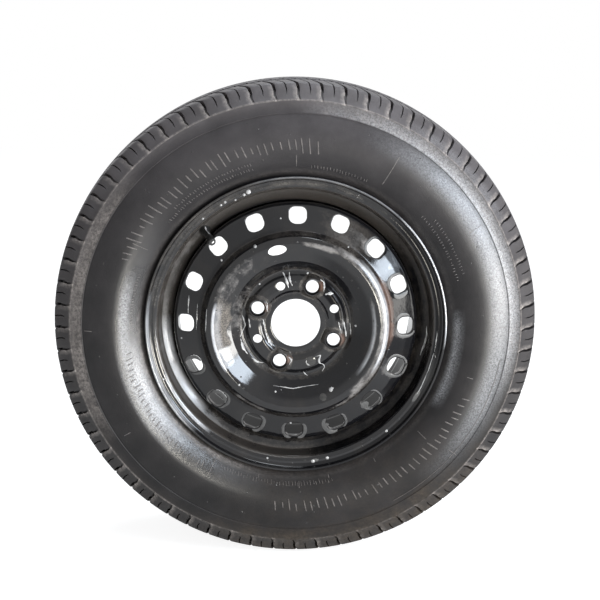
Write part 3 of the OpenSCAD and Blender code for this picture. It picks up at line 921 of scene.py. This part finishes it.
def run(skin, places, width, height):
    """Vertices and faces of a run of liquid through places (radius, angle in degrees) on the face."""
    x, y = np.array([flat_place(r, angle) for r, angle in places]).T
    s = np.concatenate([[0], np.cumsum(np.hypot(np.diff(x), np.diff(y)))])
    t = np.linspace(0, s[-1], max(6, int(s[-1] / 0.9)))
    mid = np.stack([np.interp(t, s, x), np.interp(t, s, y)], -1)
    for _ in range(4):
        mid[1:-1] = (mid[:-2] + 2 * mid[1:-1] + mid[2:]) / 4
    along = np.gradient(mid, axis=0)
    side = np.stack([-along[:, 1], along[:, 0]], -1) / np.linalg.norm(along, axis=1)[:, None]
    share = t / s[-1]
    wobble = 1 + 0.35 * np.sin(share * 9 + x[0]) + 0.2 * np.sin(share * 23 + y[0])
    half = width / 2 * wobble * np.sqrt(np.clip(4 * share * (1 - share), 0, 1))
    rows = []
    for u in np.linspace(-1, 1, 7):
        px, py = (mid + side * (half * u)[:, None]).T
        lift = height * (1 - u * u) * np.minimum(1, half / width * 2.5) + WET_EDGE
        rows.append(skin.point(np.hypot(px, py), np.arctan2(py, px), lift))
    return open_grid(rows)


def joined(pieces):
    """One list of vertices and faces from many."""
    verts, faces, count = [], [], 0
    for v, f in pieces:
        verts += list(v)
        faces += [tuple(i + count for i in face) for face in f]
        count += len(v)
    return verts, faces


def wet_object(name, pieces, material, slot="wheel_paint", body="wheel"):
    """One object from the meshes of many drops, runs or films."""
    mesh_object(name, *joined(pieces), material, sharp=60, slot=slot, body=body)


# Tyre


def wall_height(r):
    """Height of the sidewall's outside at radius r."""
    u = np.clip((WIDEST_R - r) / (WIDEST_R - WALL_FOOT_R), 0, 1)
    least = math.sqrt(WALL_ARCH ** 2 - 1)
    arch = (np.sqrt(WALL_ARCH ** 2 - u * u) - least) / (WALL_ARCH - least)
    low = WALL_FOOT_Z + (SECTION_W / 2 - WALL_FOOT_Z) * arch
    high = SECTION_W / 2 - (r - WIDEST_R) ** 2 / (2 * WALL_CURVE)
    return np.where(r < WIDEST_R, low, high)


def crown_r(z):
    return TYRE_R - TREAD_DROP * (z / TREAD_HALF) ** 2


def line_places():
    """Radius and height of the ring line, and of the inner line further in."""
    ring_r, line_r = TYRE_R - RING_LINE_DROP, TYRE_R - INNER_LINE_DROP
    line_z = float(wall_height(line_r))
    return ring_r, line_z - 2.6, line_r, line_z


def shoulder_rows():
    """Rows from the tread's edge down to the ring line, where the slots run out."""
    corner_r = TYRE_R - TREAD_DROP
    ring_r, ring_z, _, _ = line_places()
    outline = [(crown_r(60), 60, 0), (corner_r, TREAD_HALF, 6), (ring_r + 1.6, ring_z - 0.8, 0)]
    shoulder = rounded(outline, math.radians(14))
    last = shoulder[-1] - shoulder[-2]
    places = np.vstack([shoulder[:-1], shoulder[-2] + last * 0.35, shoulder[-2] + last * 0.7, shoulder[-1:]])
    share = (corner_r - places[:, 0]) / (corner_r - ring_r)
    slot, sipe = np.interp(share, [0, 0.3, 0.93], [7, 5.5, 0.8]), np.interp(share, [0, 0.4, 0.6], [5, 3, 0])
    return np.column_stack([places, slot, sipe, np.interp(share, [0, 1], [SLOT_W, SLOT_FOOT_W])])


def groove_rows(z, slot_before, slot_after):
    """Rows across a groove round the tread, with the slots that run into it on either side."""
    floor = crown_r(z) - TREAD_DEPTH
    profile = (
        (-GROOVE_MOUTH, crown_r(z - GROOVE_MOUTH), slot_before),
        (-GROOVE_EDGE, crown_r(z - GROOVE_EDGE) - 0.4, slot_before),
        (-GROOVE_FLOOR, floor, 0), (GROOVE_FLOOR, floor, 0),
        (GROOVE_EDGE, crown_r(z + GROOVE_EDGE) - 0.4, slot_after),
        (GROOVE_MOUTH, crown_r(z + GROOVE_MOUTH), slot_after),
    )
    return [(r, z + dz, min(slot, r - floor), min(SIPE_DEPTH, r - floor), NARROW_SLOT_W)
            for dz, r, slot in profile]


def bead_places():
    """Places from the foot of the sidewall down the bead, which follows the rim, to the bead's toe."""
    toe_z = FLANGE_Z - SEAT_W + 3
    outside = beside(rim_path(), RIM_T / 2 + BEAD_GAP)[::2]
    seated = [(r, z) for r, z in outside if toe_z < z < FLANGE_Z + 2.6 and r < SEAT_R + 11.9]
    return [(SEAT_R + 14.9, FLANGE_Z + 4.8), *seated, (SEAT_R - 1.6, toe_z)]


def tyre_rows():
    """Rows of one half, from the middle of the tread to the bead's toe.

    Each is its radius, height, slot depth, sipe depth and slot width.
    """
    inner, outer = GROOVE_ZS
    rows = [(TYRE_R, 0.0, 0, SIPE_DEPTH, 1.4)]
    rows += groove_rows(inner, 0, 0)
    between = ((23, 0), (27, 0), (27.6, 5.5), (32, 6))
    rows += [(crown_r(z), z, slot, SIPE_DEPTH, NARROW_SLOT_W) for z, slot in between]
    rows += groove_rows(outer, 6.5, 7)
    rows += [(crown_r(z), z, 7, 5, SLOT_W) for z in (51, 57)]
    rows += list(shoulder_rows())
    ring_r, ring_z, line_r, line_z = line_places()
    plain = [(ring_r + 0.9, ring_z - 0.1), (ring_r - 0.2, ring_z + 0.45), (ring_r - 1.3, ring_z),
             (line_r + 2.2, line_z + 0.05), (line_r + 1.0, line_z + 0.6)]
    plain += [(r, float(wall_height(r))) for r in np.linspace(line_r, WALL_FOOT_R, 14)]
    rows += [(r, z, 0, 0, SLOT_FOOT_W) for r, z in plain + bead_places()]
    return np.array(rows, float)


def slot_shift(z, r):
    """How far round the slots have leant at a row, in millimetres."""
    run = np.clip((TYRE_R - TREAD_DROP - r) / (RING_LINE_DROP - TREAD_DROP), 0, 1)
    inward = np.clip(TREAD_HALF - np.abs(z), 0, TREAD_HALF)
    side = SLOT_STEP * (1 - run) - SLOT_BEND * np.sin(2 * math.pi * run)
    return np.where(inward <= 3, side, SLOT_STEP) + inward * SLOT_LEAN


def block_columns():
    """Columns of one block, over its slot and its sipe.

    Each is its offset in slot half widths, its offset in millimetres, and its shares of slot and sipe depth.
    """
    pitch = 2 * math.pi / BLOCKS * TYRE_R
    slot = [(-1, -0.5, 0, 0), (-1, 0, 0.03, 0), (-1, 0.5, 1, 0)]
    slot += [(1, -0.5, 1, 0), (1, 0, 0.03, 0), (1, 0.5, 0, 0)]
    sipe_edges = ((-0.75, 0), (-0.35, 1), (0.35, 1), (0.75, 0))
    sipe = [(0, pitch * 0.5 + offset, 0, share) for offset, share in sipe_edges]
    before, after = ([(0, pitch * at, 0, 0) for at in places] for places in ((0.27, 0.40), (0.62, 0.76)))
    return np.array(slot + before + sipe + after).T


def tyre_points():
    """The tyre's rows of points, outside and then inside, and 1 on the cut edge of each shoulder block."""
    half = tyre_rows()
    outer = np.vstack([half[:0:-1], half * np.array([1, -1, 1, 1, 1])])
    inner_half = np.array([(SEAT_R + 5, 46.5), (190, 63), (214, 80), (232, 80), (247, 74), (262, 66),
                           (TYRE_R - CROWN_T - 3.3, 41), (TYRE_R - CROWN_T, 16)])
    inner = np.vstack([inner_half * np.array([1, -1]), inner_half[::-1]])
    r, z, slot, sipe, width = outer.T
    half_w, mm, slot_share, sipe_share = block_columns()
    depth = slot[:, None] * slot_share + sipe[:, None] * sipe_share
    rr, zz = (np.tile(outer[:, k, None] - normals(outer[:, :2])[:, k, None] * depth, BLOCKS) for k in (0, 1))
    pitch = 2 * math.pi / BLOCKS
    lean = (half_w * width[:, None] / 2 + mm + slot_shift(z, r)[:, None]) / TYRE_R
    angle = lean + (pitch / 2 * np.clip(0.5 - z / 20, 0, 1))[:, None]
    angle = (angle[:, None, :] + (np.arange(BLOCKS) * pitch)[:, None]).reshape(len(r), -1)
    turn = angle[-1] + (angle[0] - angle[-1]) * np.linspace(0, 1, len(inner))[:, None]
    points = np.vstack([placed(rr, zz, angle), placed(inner[:, :1], inner[:, 1:], turn)])
    edge = np.zeros(points.shape[:2])
    edge[:len(r)] = ((r < 279) & (z > 0))[:, None] * np.tile((half_w > 0) & (mm >= 0), BLOCKS)
    return points, edge


# Where the tyre is brown with dust round its foot: start, end and softness in degrees
DUSTY_FOOT = (252, 322, 16)


def tyre_wear(wear, edge):
    """Scuffs, dust, painted light from above, painted highlights and reflections, and shine on the tyre,
    with the cut edges of its blocks painted pale as highlights.
    """
    radius, around = wear.radius, wear.around
    ring_r = TYRE_R - RING_LINE_DROP
    front = wear.height > 0
    scuff = wear.patches(
        (0.65, (249.5, 261.5, 2), (143, 206, 14)), (0.30, (249.5, 261.5, 2), (-8, 84, 14)),
        (0.4, (180, 186, 2), (180, 250, 20)))
    # The ring line's pale stripe is a painted highlight.
    scuff += 0.08 * band(radius, 180, 186, 2) + 0.35 * band(radius, ring_r - 0.9, ring_r + 1.2, 0.6)
    # Painted highlights and reflections on the sidewall, the shoulder and the tread.
    painted_reflection = wear.patches(
        (0.5, (187, 208, 6), (190, 222, 16)), (0.24, (227, 249, 10), (-36, 58, 30)),
        (0.5, (249.5, 261.5, 2), (-8, 78, 24)), (0.42, (197, 205, 3), (165, 190, 10)),
        (0.4, (187, 192.5, 2.5), (-27, 5, 6)), (0.12, (263, 271, 2), (30, 60, 10)))
    shine = wear.patches((1, (182, 211, 5), (150, 250, 24)), (0.75, (221, 250, 10), (-30, 60, 20)))
    foot = arc(around, *DUSTY_FOOT) * (0.3 + 0.7 * band(radius, 248, 300, 6))
    # Painted light from above: a lighter grey towards the top of the tyre, most on the tread.
    top = 0.5 + 0.5 * np.sin(np.radians(around))
    bloom = np.interp(radius, [185, 235], [0.12, 0.55]) * top ** 3
    bloom += 0.9 * band(radius, 262, 300, 4) * top ** 2
    # The cut edges of the shoulder blocks are painted pale as highlights.
    wear.write(scuff=scuff * front + 0.6 * edge * (radius > 262), pale=painted_reflection * front,
               dust=foot + 0.2 * band(radius, 255, 300, 4), bloom=np.clip(bloom, 0, 1),
               shine=np.clip(shine, 0, 1))


def tyre(material):
    points, edge = tyre_points()
    faces = grid_faces(*points.shape[:2])
    obj = mesh_object("tyre_carcass", points.reshape(-1, 3), faces, material, sharp=38, slot="tyre",
                      replaces=["tyre"])
    tyre_wear(Wear(obj), edge.ravel())


def tyre_skin():
    """The sidewall from the flange to the ring line."""
    ring_r, ring_z, line_r, line_z = line_places()
    wall = [(r, float(wall_height(r))) for r in np.linspace(WALL_FOOT_R, line_r, 40)]
    return Skin(wall + [(line_r + 2.2, line_z + 0.05), (ring_r, ring_z)])


def rib(skin, r0, r1, angle, width, height=0.5, lean=0.0):
    """A raised radial bar moulded on the sidewall."""
    r = np.linspace(r0, r1, 6)
    middle = math.radians(angle) + lean * (r - r0) / r
    rows = []
    for side, lift in ((-1, RELIEF_EDGE), (-0.7, height), (0.7, height), (1, RELIEF_EDGE)):
        lifts = np.array([RELIEF_EDGE] + [lift] * 4 + [RELIEF_EDGE])
        rows.append(skin.point(r, middle + side * width / 2 / r, lifts))
    return open_grid(rows)


def arc_rib(skin, r, start, end, width, height=0.4):
    """A raised line moulded round the sidewall from one angle to another."""
    count = max(3, int((end - start) / 1.5))
    angle = np.radians(np.linspace(start, end, count))
    profile = ((-1, RELIEF_EDGE), (-0.6, height), (0.6, height), (1, RELIEF_EDGE))
    return open_grid([skin.point(np.full(count, r + side * width / 2), angle, lift)
                      for side, lift in profile])


# Panels of plain ribs where the tyre carries its markings: angles, radii, pitch in degrees, rib width
RIB_PANELS = [
    (84, 158, 203, 223, 2.3, 1.5), (264, 338, 207, 224, 2.3, 1.5), (189, 238, 193, 204, 1.9, 1.1),
    (106, 140, 190, 194, 1.0, 0.8), (106, 136, 196, 200, 1.0, 0.8), (161, 179, 190, 194, 1.0, 0.8),
    (243, 284, 188, 194, 1.1, 0.8), (18, 44, 193, 197, 1.1, 0.8), (20, 40, 201, 205, 1.1, 0.8),
    (66, 86, 187, 192, 1.1, 0.8),
]
# The line moulded round the sidewall, as (start, end, radius)
RIB_LINE = (300, 352, 241.5)
# Radial mould lines, as (angle, inner radius, outer radius)
MOULD_LINES = [
    (1.5, 232, 246), (31, 226, 246), (61, 188, 238), (91, 188, 203), (152, 193, 214), (181, 236, 246),
    (213, 230, 240), (240, 186, 207), (257, 185, 190), (272, 188, 196), (283, 185, 189), (301, 186, 190),
    (320, 191, 205), (322, 232, 246), (345, 208, 216),
]


def sidewall_relief(material):
    """Mould lines, marks by the bead and panels of plain ribs."""
    skin = tyre_skin()
    pieces = [rib(skin, low, high, angle, 0.9, 0.35) for angle, low, high in MOULD_LINES]
    rng = np.random.default_rng(11)
    for start, end, r0, r1, pitch, width in RIB_PANELS:
        for angle in np.arange(start, end, pitch):
            low, high = r0 + (r1 - r0) * rng.uniform(0, 0.35), r1 - (r1 - r0) * rng.uniform(0, 0.35)
            pieces.append(rib(skin, low, high, angle + rng.uniform(-0.15, 0.15) * pitch, width, 0.5, 0.16))
    start, end, r = RIB_LINE
    pieces.append(arc_rib(skin, r, start, end, 0.8))
    wear = Wear(mesh_object("sidewall_relief", *joined(pieces), material, sharp=30, slot="tyre"))
    # The ribs are painted a lighter grey as a painted highlight on the raised strokes.
    wear.write(scuff=0.3, bloom=0.5, dust=0.8 * arc(wear.around, *DUSTY_FOOT), shine=0.6)


# Wet, with painted highlights, glints and shade


def streaks(material):
    """Runs and smears of liquid on the disc, the rim's wall and the flange, pale as painted highlights, as
    (width, height, places).
    """
    on_disc = [
        (2.4, 0.5, [(64, 105), (55, 103), (44, 102)]), (2.0, 0.5, [(63, 98), (54, 99), (46, 96)]),
        (1.8, 0.5, [(61, 63), (60, 57), (56, 54), (51, 51)]), (3.2, 0.6, [(49.5, 47), (54, 44), (58, 40)]),
        (1.6, 0.4, [(42.5, 143), (40, 150), (36, 158)]), (1.4, 0.4, [(56.4, 174), (54.5, 186)]),
        (1.5, 0.4, [(39.7, 172), (37.5, 184), (37.5, 196)]),
        (2.6, 0.5, [(37.6, 199), (38.2, 212), (39.4, 226)]),
        (1.5, 0.4, [(65, 171), (60, 183), (64, 189), (68.4, 195)]),
        (2.4, 0.5, [(68.2, 196), (69.4, 206), (68.4, 214)]),
        (1.8, 0.5, [(67.5, 219), (66, 227), (62, 233)]), (1.3, 0.4, [(50.8, 4), (52, 357), (54.8, 351)]),
        (1.8, 0.4, [(57, 4), (58.5, 357), (61, 350), (62.6, 345)]),
        (1.0, 0.3, [(64.6, 1), (66, 354), (67.2, 348)]),
        (1.8, 0.5, [(41, 258), (44.5, 265), (50.8, 262)]),
        (1.8, 0.5, [(46.5, 300), (48.5, 309), (52, 303), (56, 301), (60, 304), (64.6, 304), (67, 299)]),
        (1.4, 0.4, [(46.3, 287), (50, 285), (53.8, 289)]), (1.2, 0.3, [(60, 279.5), (64, 281), (67, 284)]),
        (0.9, 0.3, [(79, 250), (78, 268), (78, 292)]), (2.8, 0.4, [(87, 299), (88, 302)]),
        (1.2, 0.3, [(131, 165), (129, 171), (128, 175)]), (1.0, 0.3, [(119, 168), (118, 184)]),
        (1.0, 0.3, [(107, 169), (106.8, 185)]),
    ]
    on_wall = [(1.1, 0.3, [(157.5, -1), (158.6, -5), (157.6, -9), (156.6, -15)]),
               (0.7, 0.3, [(159.4, -4), (159, -7), (158.2, -12)])]
    on_flange = [(0.9, 0.3, [(167.5, -1), (167, -6), (167.3, -10)]),
                 (0.9, 0.3, [(167, -10.5), (166.8, -18), (167.2, -25), (168, -31)]),
                 (0.9, 0.3, [(168.5, -11), (172, -13)])]
    inside = subdivide(beside(rim_path(), -RIM_T / 2), 1.0)
    wall = Skin([(r, z) for r, z in inside if WELL_TOP + 1 < z < 50 and r < 161])
    faces = ((disc_face(DiscSkin), on_disc), (wall, on_wall), (flange_face(), on_flange))
    pieces = [run(skin, places, width, height) for skin, runs in faces for width, height, places in runs]
    wet_object("runs", pieces, material)


def crescent(disc, skin, vent, toward, spread, width):
    """Vertices and faces of a film lying against one side of a vent."""
    share = np.linspace(-1, 1, 25)
    hole = at_directions(vent_outline(), np.radians(toward - vent + spread * share))
    reach = np.linalg.norm(hole, axis=1)[:, None]
    broad = width * np.sqrt(np.clip(1 - share ** 2, 0, 1))[:, None]
    rows = []
    for across, lift in ((0, WET_EDGE), (0.2, 0.2), (0.8, 0.2), (1, WET_EDGE)):
        offset = hole * (1 + (0.9 * (width > 0) + broad * across) / reach)
        s = disc.along(VENT_R) + offset[:, 0]
        angle = math.radians(vent) + offset[:, 1] / disc.at(s, 0)[0]
        rows.append(skin.point(disc.at(s, 1)[0], angle, lift))
    return open_grid(rows)


def crescents(material):
    """Films of dirty water: against the vents, in patches on the disc below them and on the flange. The dark
    films inside the vents are painted shade across part of each opening.
    """
    disc, skin, flange = Sheet(disc_path(), DISC_T), disc_face(), flange_face()
    # Vent, direction, half its length in degrees, and width, which is negative for a dark film inside the
    # vent that is painted shade
    films = [
        (45, 160, 80, 3.2), (22.5, 150, 75, 3.4), (22.5, 285, 45, 6.0), (0, 262, 70, 4.2),
        (0, 110, 45, 4.5), (-22.5, 80, 90, 3.4), (-22.5, 235, 80, 4.0), (-22.5, -25, 60, 2.4),
        (-45, 30, 70, 2.2), (-45, 235, 50, 2.6), (-67.5, 12, 50, 3.2), (-67.5, 222, 66, 6.0),
        (270, 345, 55, 4.6), (270, 196, 60, 3.8), (247.5, 335, 70, 4.4), (247.5, 165, 60, 2.4),
        (225, 345, 75, 3.6), (225, 170, 60, 1.6), (202.5, 315, 60, 3.4), (202.5, 100, 75, -4.5),
        (225, 50, 85, -5.5), (-22.5, 320, 60, -3.5),
    ]
    pieces = [crescent(disc, skin, *film) for film in films]
    pieces += [drop(skin, 130.5, 310.5, 4.4, 0.06, 16, 1.3), drop(skin, 131, 287, 2.6, 0.06, 14, 1.6),
               drop(flange, 168.5, 330, 3.0, 0.08, 18, 3.0), drop(flange, 168.5, 279, 2.4, 0.1, 14, 1.8)]
    wet_object("vent_films", pieces, material)


def glint(material):
    """The one broad white spot above the hub: a painted glint."""
    wet_object("painted_white_glint", [drop(disc_face(), 94, 104.5, 6.4, 0.06, 28, 1.9)], material)


def valve_frame():
    """The gasket's middle, which is on the valve's axis, and two directions square to the axis."""
    low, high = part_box("core_gasket")
    side = unit(np.array([1.0, 0.0, 1.0]))
    middle = (np.array(low) + np.array(high)) / 2 / MM
    return middle, side, unit(np.cross(VALVE_AXIS, side))


def valve_streak(material):
    """A pale streak down the side of the valve's rubber body: a painted highlight."""
    middle, side, front = valve_frame()
    t = np.linspace(0, 1, 24)[:, None]
    along = -16.5 + 15.5 * t
    body = np.interp(along, *VALVE_BODY)
    rows = []
    for turn, lift in ((-14, 0.0), (-6, 0.3), (6, 0.3), (14, 0.0)):
        a = np.radians(48 + turn * (0.7 + 0.3 * np.sin(9 * t)) + 8 * np.sin(5 * t))
        out = side * np.cos(a) + front * np.sin(a)
        rows.append((middle + VALVE_AXIS * along + out * (body + lift)) * MM)
    wet_object("valve_streak", [open_grid(rows)], material)


def cap_painted_glint(material):
    """A pale dome on the end of the valve cap: a painted glint."""
    middle, side, across = valve_frame()
    end = middle + VALVE_AXIS * CAP_TOP + side * 0.8
    sides, shares = 12, (0.5, 0.85, 1.0)
    turn = (np.arange(sides) * 2 * math.pi / sides)[:, None]
    verts = [end + VALVE_AXIS * 0.5]
    for share in shares:
        out = share * (side * 2.0 * np.cos(turn) + across * 0.9 * np.sin(turn))
        verts += list(end + out + VALVE_AXIS * (0.5 * (1 - share ** 2) - 0.05))
    pieces = [(np.array(verts) * MM, dome_faces(sides, len(shares)))]
    wet_object("cap_painted_glint", pieces, material, slot="cap_plastic", body="cap")


def spots(material):
    """The larger drops, pale as painted glints, as (radius, angle, size)."""
    on_flange = [
        (168, 110, 2.8), (166.5, 112, 1.6), (168, 120, 1.5), (167.5, 122, 1.4), (165, 116, 1.2),
        (169, 278, 2.4), (168, 284, 2.0), (167, 131, 1.2), (171, 66, 1.3), (170, 203, 1.5),
        (167, 259, 1.3), (170, 311, 2.0),
    ]
    on_disc = [
        (107, 117.3, 2.0), (117, 139, 1.4), (71, 359, 1.4), (88, 299, 2.4), (112, 58, 1.1), (128, 99, 1.1),
        (64, 133, 1.1), (62, 78, 1.3), (137, 188, 1.1), (122, 268, 1.2), (97, 227, 1.4), (84, 254, 1.2),
    ]
    faces = ((flange_face(), on_flange), (disc_face(), on_disc))
    wet_object("drops_painted_glint", [drop(skin, *place) for skin, places in faces for place in places], material)


def drops(material):
    """Water drops strewn on the disc, the flange and the tyre, and the film over a small hole."""
    face, flange, wall = disc_face(DiscSkin), flange_face(), tyre_skin()
    rng = np.random.default_rng(7)
    pieces = [drop(face, 92, 291.5, 4.6, 0.12), drop(face, STUD_R, 292.5, 6.4, 0.05)]
    # Face, inner and outer radius, number, smallest and largest size
    fields = ((face, 30, 105, 70, 0.5, 1.2), (face, 105, 117, 18, 0.5, 1.1),
              (flange, 166.5, 173, 46, 0.5, 1.2), (wall, 190, 246, 60, 0.5, 1.1))
    for skin, low, high, count, smallest, largest in fields:
        for _ in range(count):
            r = rng.uniform(low, high)
            angle = rng.uniform(0, 360)
            over_hole = 38 < r < 60 and abs(angle % 45 - 22.5) < 16
            if skin is face and (r < 33 or over_hole):
                continue
            pieces.append(drop(skin, r, angle, rng.uniform(smallest, largest), sides=8))
    wet_object("drops", pieces, material)


# Stage

# The photograph's camera, fitted to the wheel's circles: its place in metres, its turn, and its focal length
# and the photo's width in pixels
CAMERA_PLACE = (-0.0339, -1.3288, 0.3029)
CAMERA_AZIMUTH, CAMERA_ELEVATION, CAMERA_ROLL = (math.radians(a) for a in (1.72, 12.108, 1.092))
FOCAL_PX = 1103.3
PHOTO_PX = 600


def direction(azimuth, elevation):
    """A direction in degrees: azimuth to the right of the wheel's front, elevation above the level."""
    a, e = math.radians(azimuth), math.radians(elevation)
    return math.sin(a) * math.cos(e), -math.cos(a) * math.cos(e), math.sin(e)


def camera():
    azimuth, elevation = CAMERA_AZIMUTH, CAMERA_ELEVATION
    level = Vector((math.cos(azimuth), -math.sin(azimuth), 0))
    forward = Vector((math.sin(azimuth) * math.cos(elevation), math.cos(azimuth) * math.cos(elevation),
                      -math.sin(elevation)))
    right = level * math.cos(CAMERA_ROLL) + level.cross(forward) * math.sin(CAMERA_ROLL)
    up = right.cross(forward)
    data = bpy.data.cameras.new("camera")
    data.lens = data.sensor_width * FOCAL_PX / PHOTO_PX
    obj = bpy.data.objects.new("camera", data)
    bpy.context.scene.collection.objects.link(obj)
    columns = [(*axis, 0) for axis in (right, up, -forward)] + [(*CAMERA_PLACE, 1)]
    obj.matrix_world = Matrix(columns).transposed()
    bpy.context.scene.camera = obj


def world():
    """Soft light all round, seen as white."""
    data = bpy.data.worlds.new("studio")
    bpy.context.scene.world = data
    m = Nodes(data)
    m.tree.nodes.clear()
    soft = m.add("Background", {"Color": (0.93, 0.96, 1.0, 1), "Strength": 0.34})
    white = m.add("Background", {"Color": (1, 1, 1, 1), "Strength": 1.0})
    m.add("OutputWorld", {0: m.white_where_seen(soft, white)})


def floor():
    """A sheet of pale paper under the tyre, a hair below it."""
    m = new_material("floor_paper")
    m.set(base_color=(0.8, 0.8, 0.8, 1), roughness=0.9)
    glow = m.add("Emission", {"Strength": 0.88})
    pale = m.add("BsdfDiffuse", {"Color": (0.35, 0.35, 0.35, 1)})
    seen = m.white_where_seen(m.shader, m.add("AddShader", {0: glow, 1: pale}))
    m.link(seen, m.tree.nodes["Material Output"].inputs[0])
    mesh = bpy.data.meshes.new("floor")
    half, z = 6.0, -TYRE_R * MM - 0.0005
    corners = [(x * half, y * half, z) for x, y in ((-1, -1), (1, -1), (1, 1), (-1, 1))]
    mesh.from_pydata(corners, [], [(0, 1, 2, 3)])
    mesh.materials.append(m.owner)
    obj = bpy.data.objects.new("floor", mesh)
    bpy.context.scene.collection.objects.link(obj)


def area_light(name, toward, distance, size, power, colour=(1, 1, 1)):
    """A soft box in that direction from the wheel's middle, facing it."""
    data = bpy.data.lights.new(name, "AREA")
    data.shape = "RECTANGLE"
    data.size, data.size_y = size
    data.energy = power
    data.color = colour
    obj = bpy.data.objects.new(name, data)
    bpy.context.scene.collection.objects.link(obj)
    place = Vector(toward).normalized() * distance
    obj.location = place
    obj.rotation_euler = (-place).to_track_quat("-Z", "Y").to_euler()


def lights():
    area_light("window_low", direction(57.0, 0.0), 1.35, (0.36, 0.46), 10.5, (1.0, 0.985, 0.96))
    area_light("window_high", direction(49, 19), 1.35, (0.34, 0.40), 8.5, (0.78, 0.88, 1.0))
    area_light("window_front", direction(40.2, 11.1), 1.97, (0.18, 0.30), 3.4, (0.78, 0.88, 1.0))
    area_light("door", direction(41.5, -8), 1.35, (0.28, 0.34), 5.2, (1.0, 0.98, 0.94))
    area_light("bench", direction(16, -8.5), 1.5, (0.40, 0.16), 6.5, (1.0, 0.95, 0.84))
    area_light("sky", (0.1, 0.12, 1.0), 2.4, (2.2, 1.4), 78, (0.90, 0.95, 1.0))


# Scene

bpy.context.scene.view_settings.view_transform = "Standard"
camera()
world()
floor()
lights()

PAINT = paint_material()
TYRE = tyre_material()
RUBBER = rubber_material("valve_rubber", (0.008, 0.008, 0.008), 0.36)
PLASTIC = rubber_material("cap_plastic", (0.012, 0.012, 0.012), 0.3)
SEAL = rubber_material("core_seal", (0.35, 0.04, 0.03), 0.55)
BRASS = metal_material("brass", (0.62, 0.45, 0.20), 0.32)
WIRE = metal_material("spring_steel", (0.55, 0.55, 0.57), 0.25)
PAINTED_HIGHLIGHT_FILM = film_material("painted_highlight_film", 0.16, 0.62)
PAINTED_GLINT = film_material("painted_glint_film", 0.8, 0.95)

rim(PAINT)
wheel_disc(PAINT)
tyre(TYRE)
sidewall_relief(TYRE)
streaks(PAINTED_HIGHLIGHT_FILM)
spots(PAINTED_HIGHLIGHT_FILM)
crescents(film_material("dirty_water_and_painted_shade", 0.03, 0.10, 0.42))
glint(PAINTED_GLINT)
valve_streak(film_material("valve_painted_highlight", 0.42, 0.62))
cap_painted_glint(PAINTED_GLINT)
drops(water_material())

NODE_MATERIALS = {
    "weld_beads": PAINT, "valve_rubber": RUBBER, "valve_stem": BRASS, "core_housing": BRASS,
    "core_gasket": SEAL, "core_pin": BRASS, "core_cup_seal": RUBBER, "core_spring": WIRE,
    "valve_cap": PLASTIC, "cap_seal": RUBBER,
}
for node, material in NODE_MATERIALS.items():
    obj = frame["nodes"][node]
    obj.data.materials.clear()
    obj.data.materials.append(material)
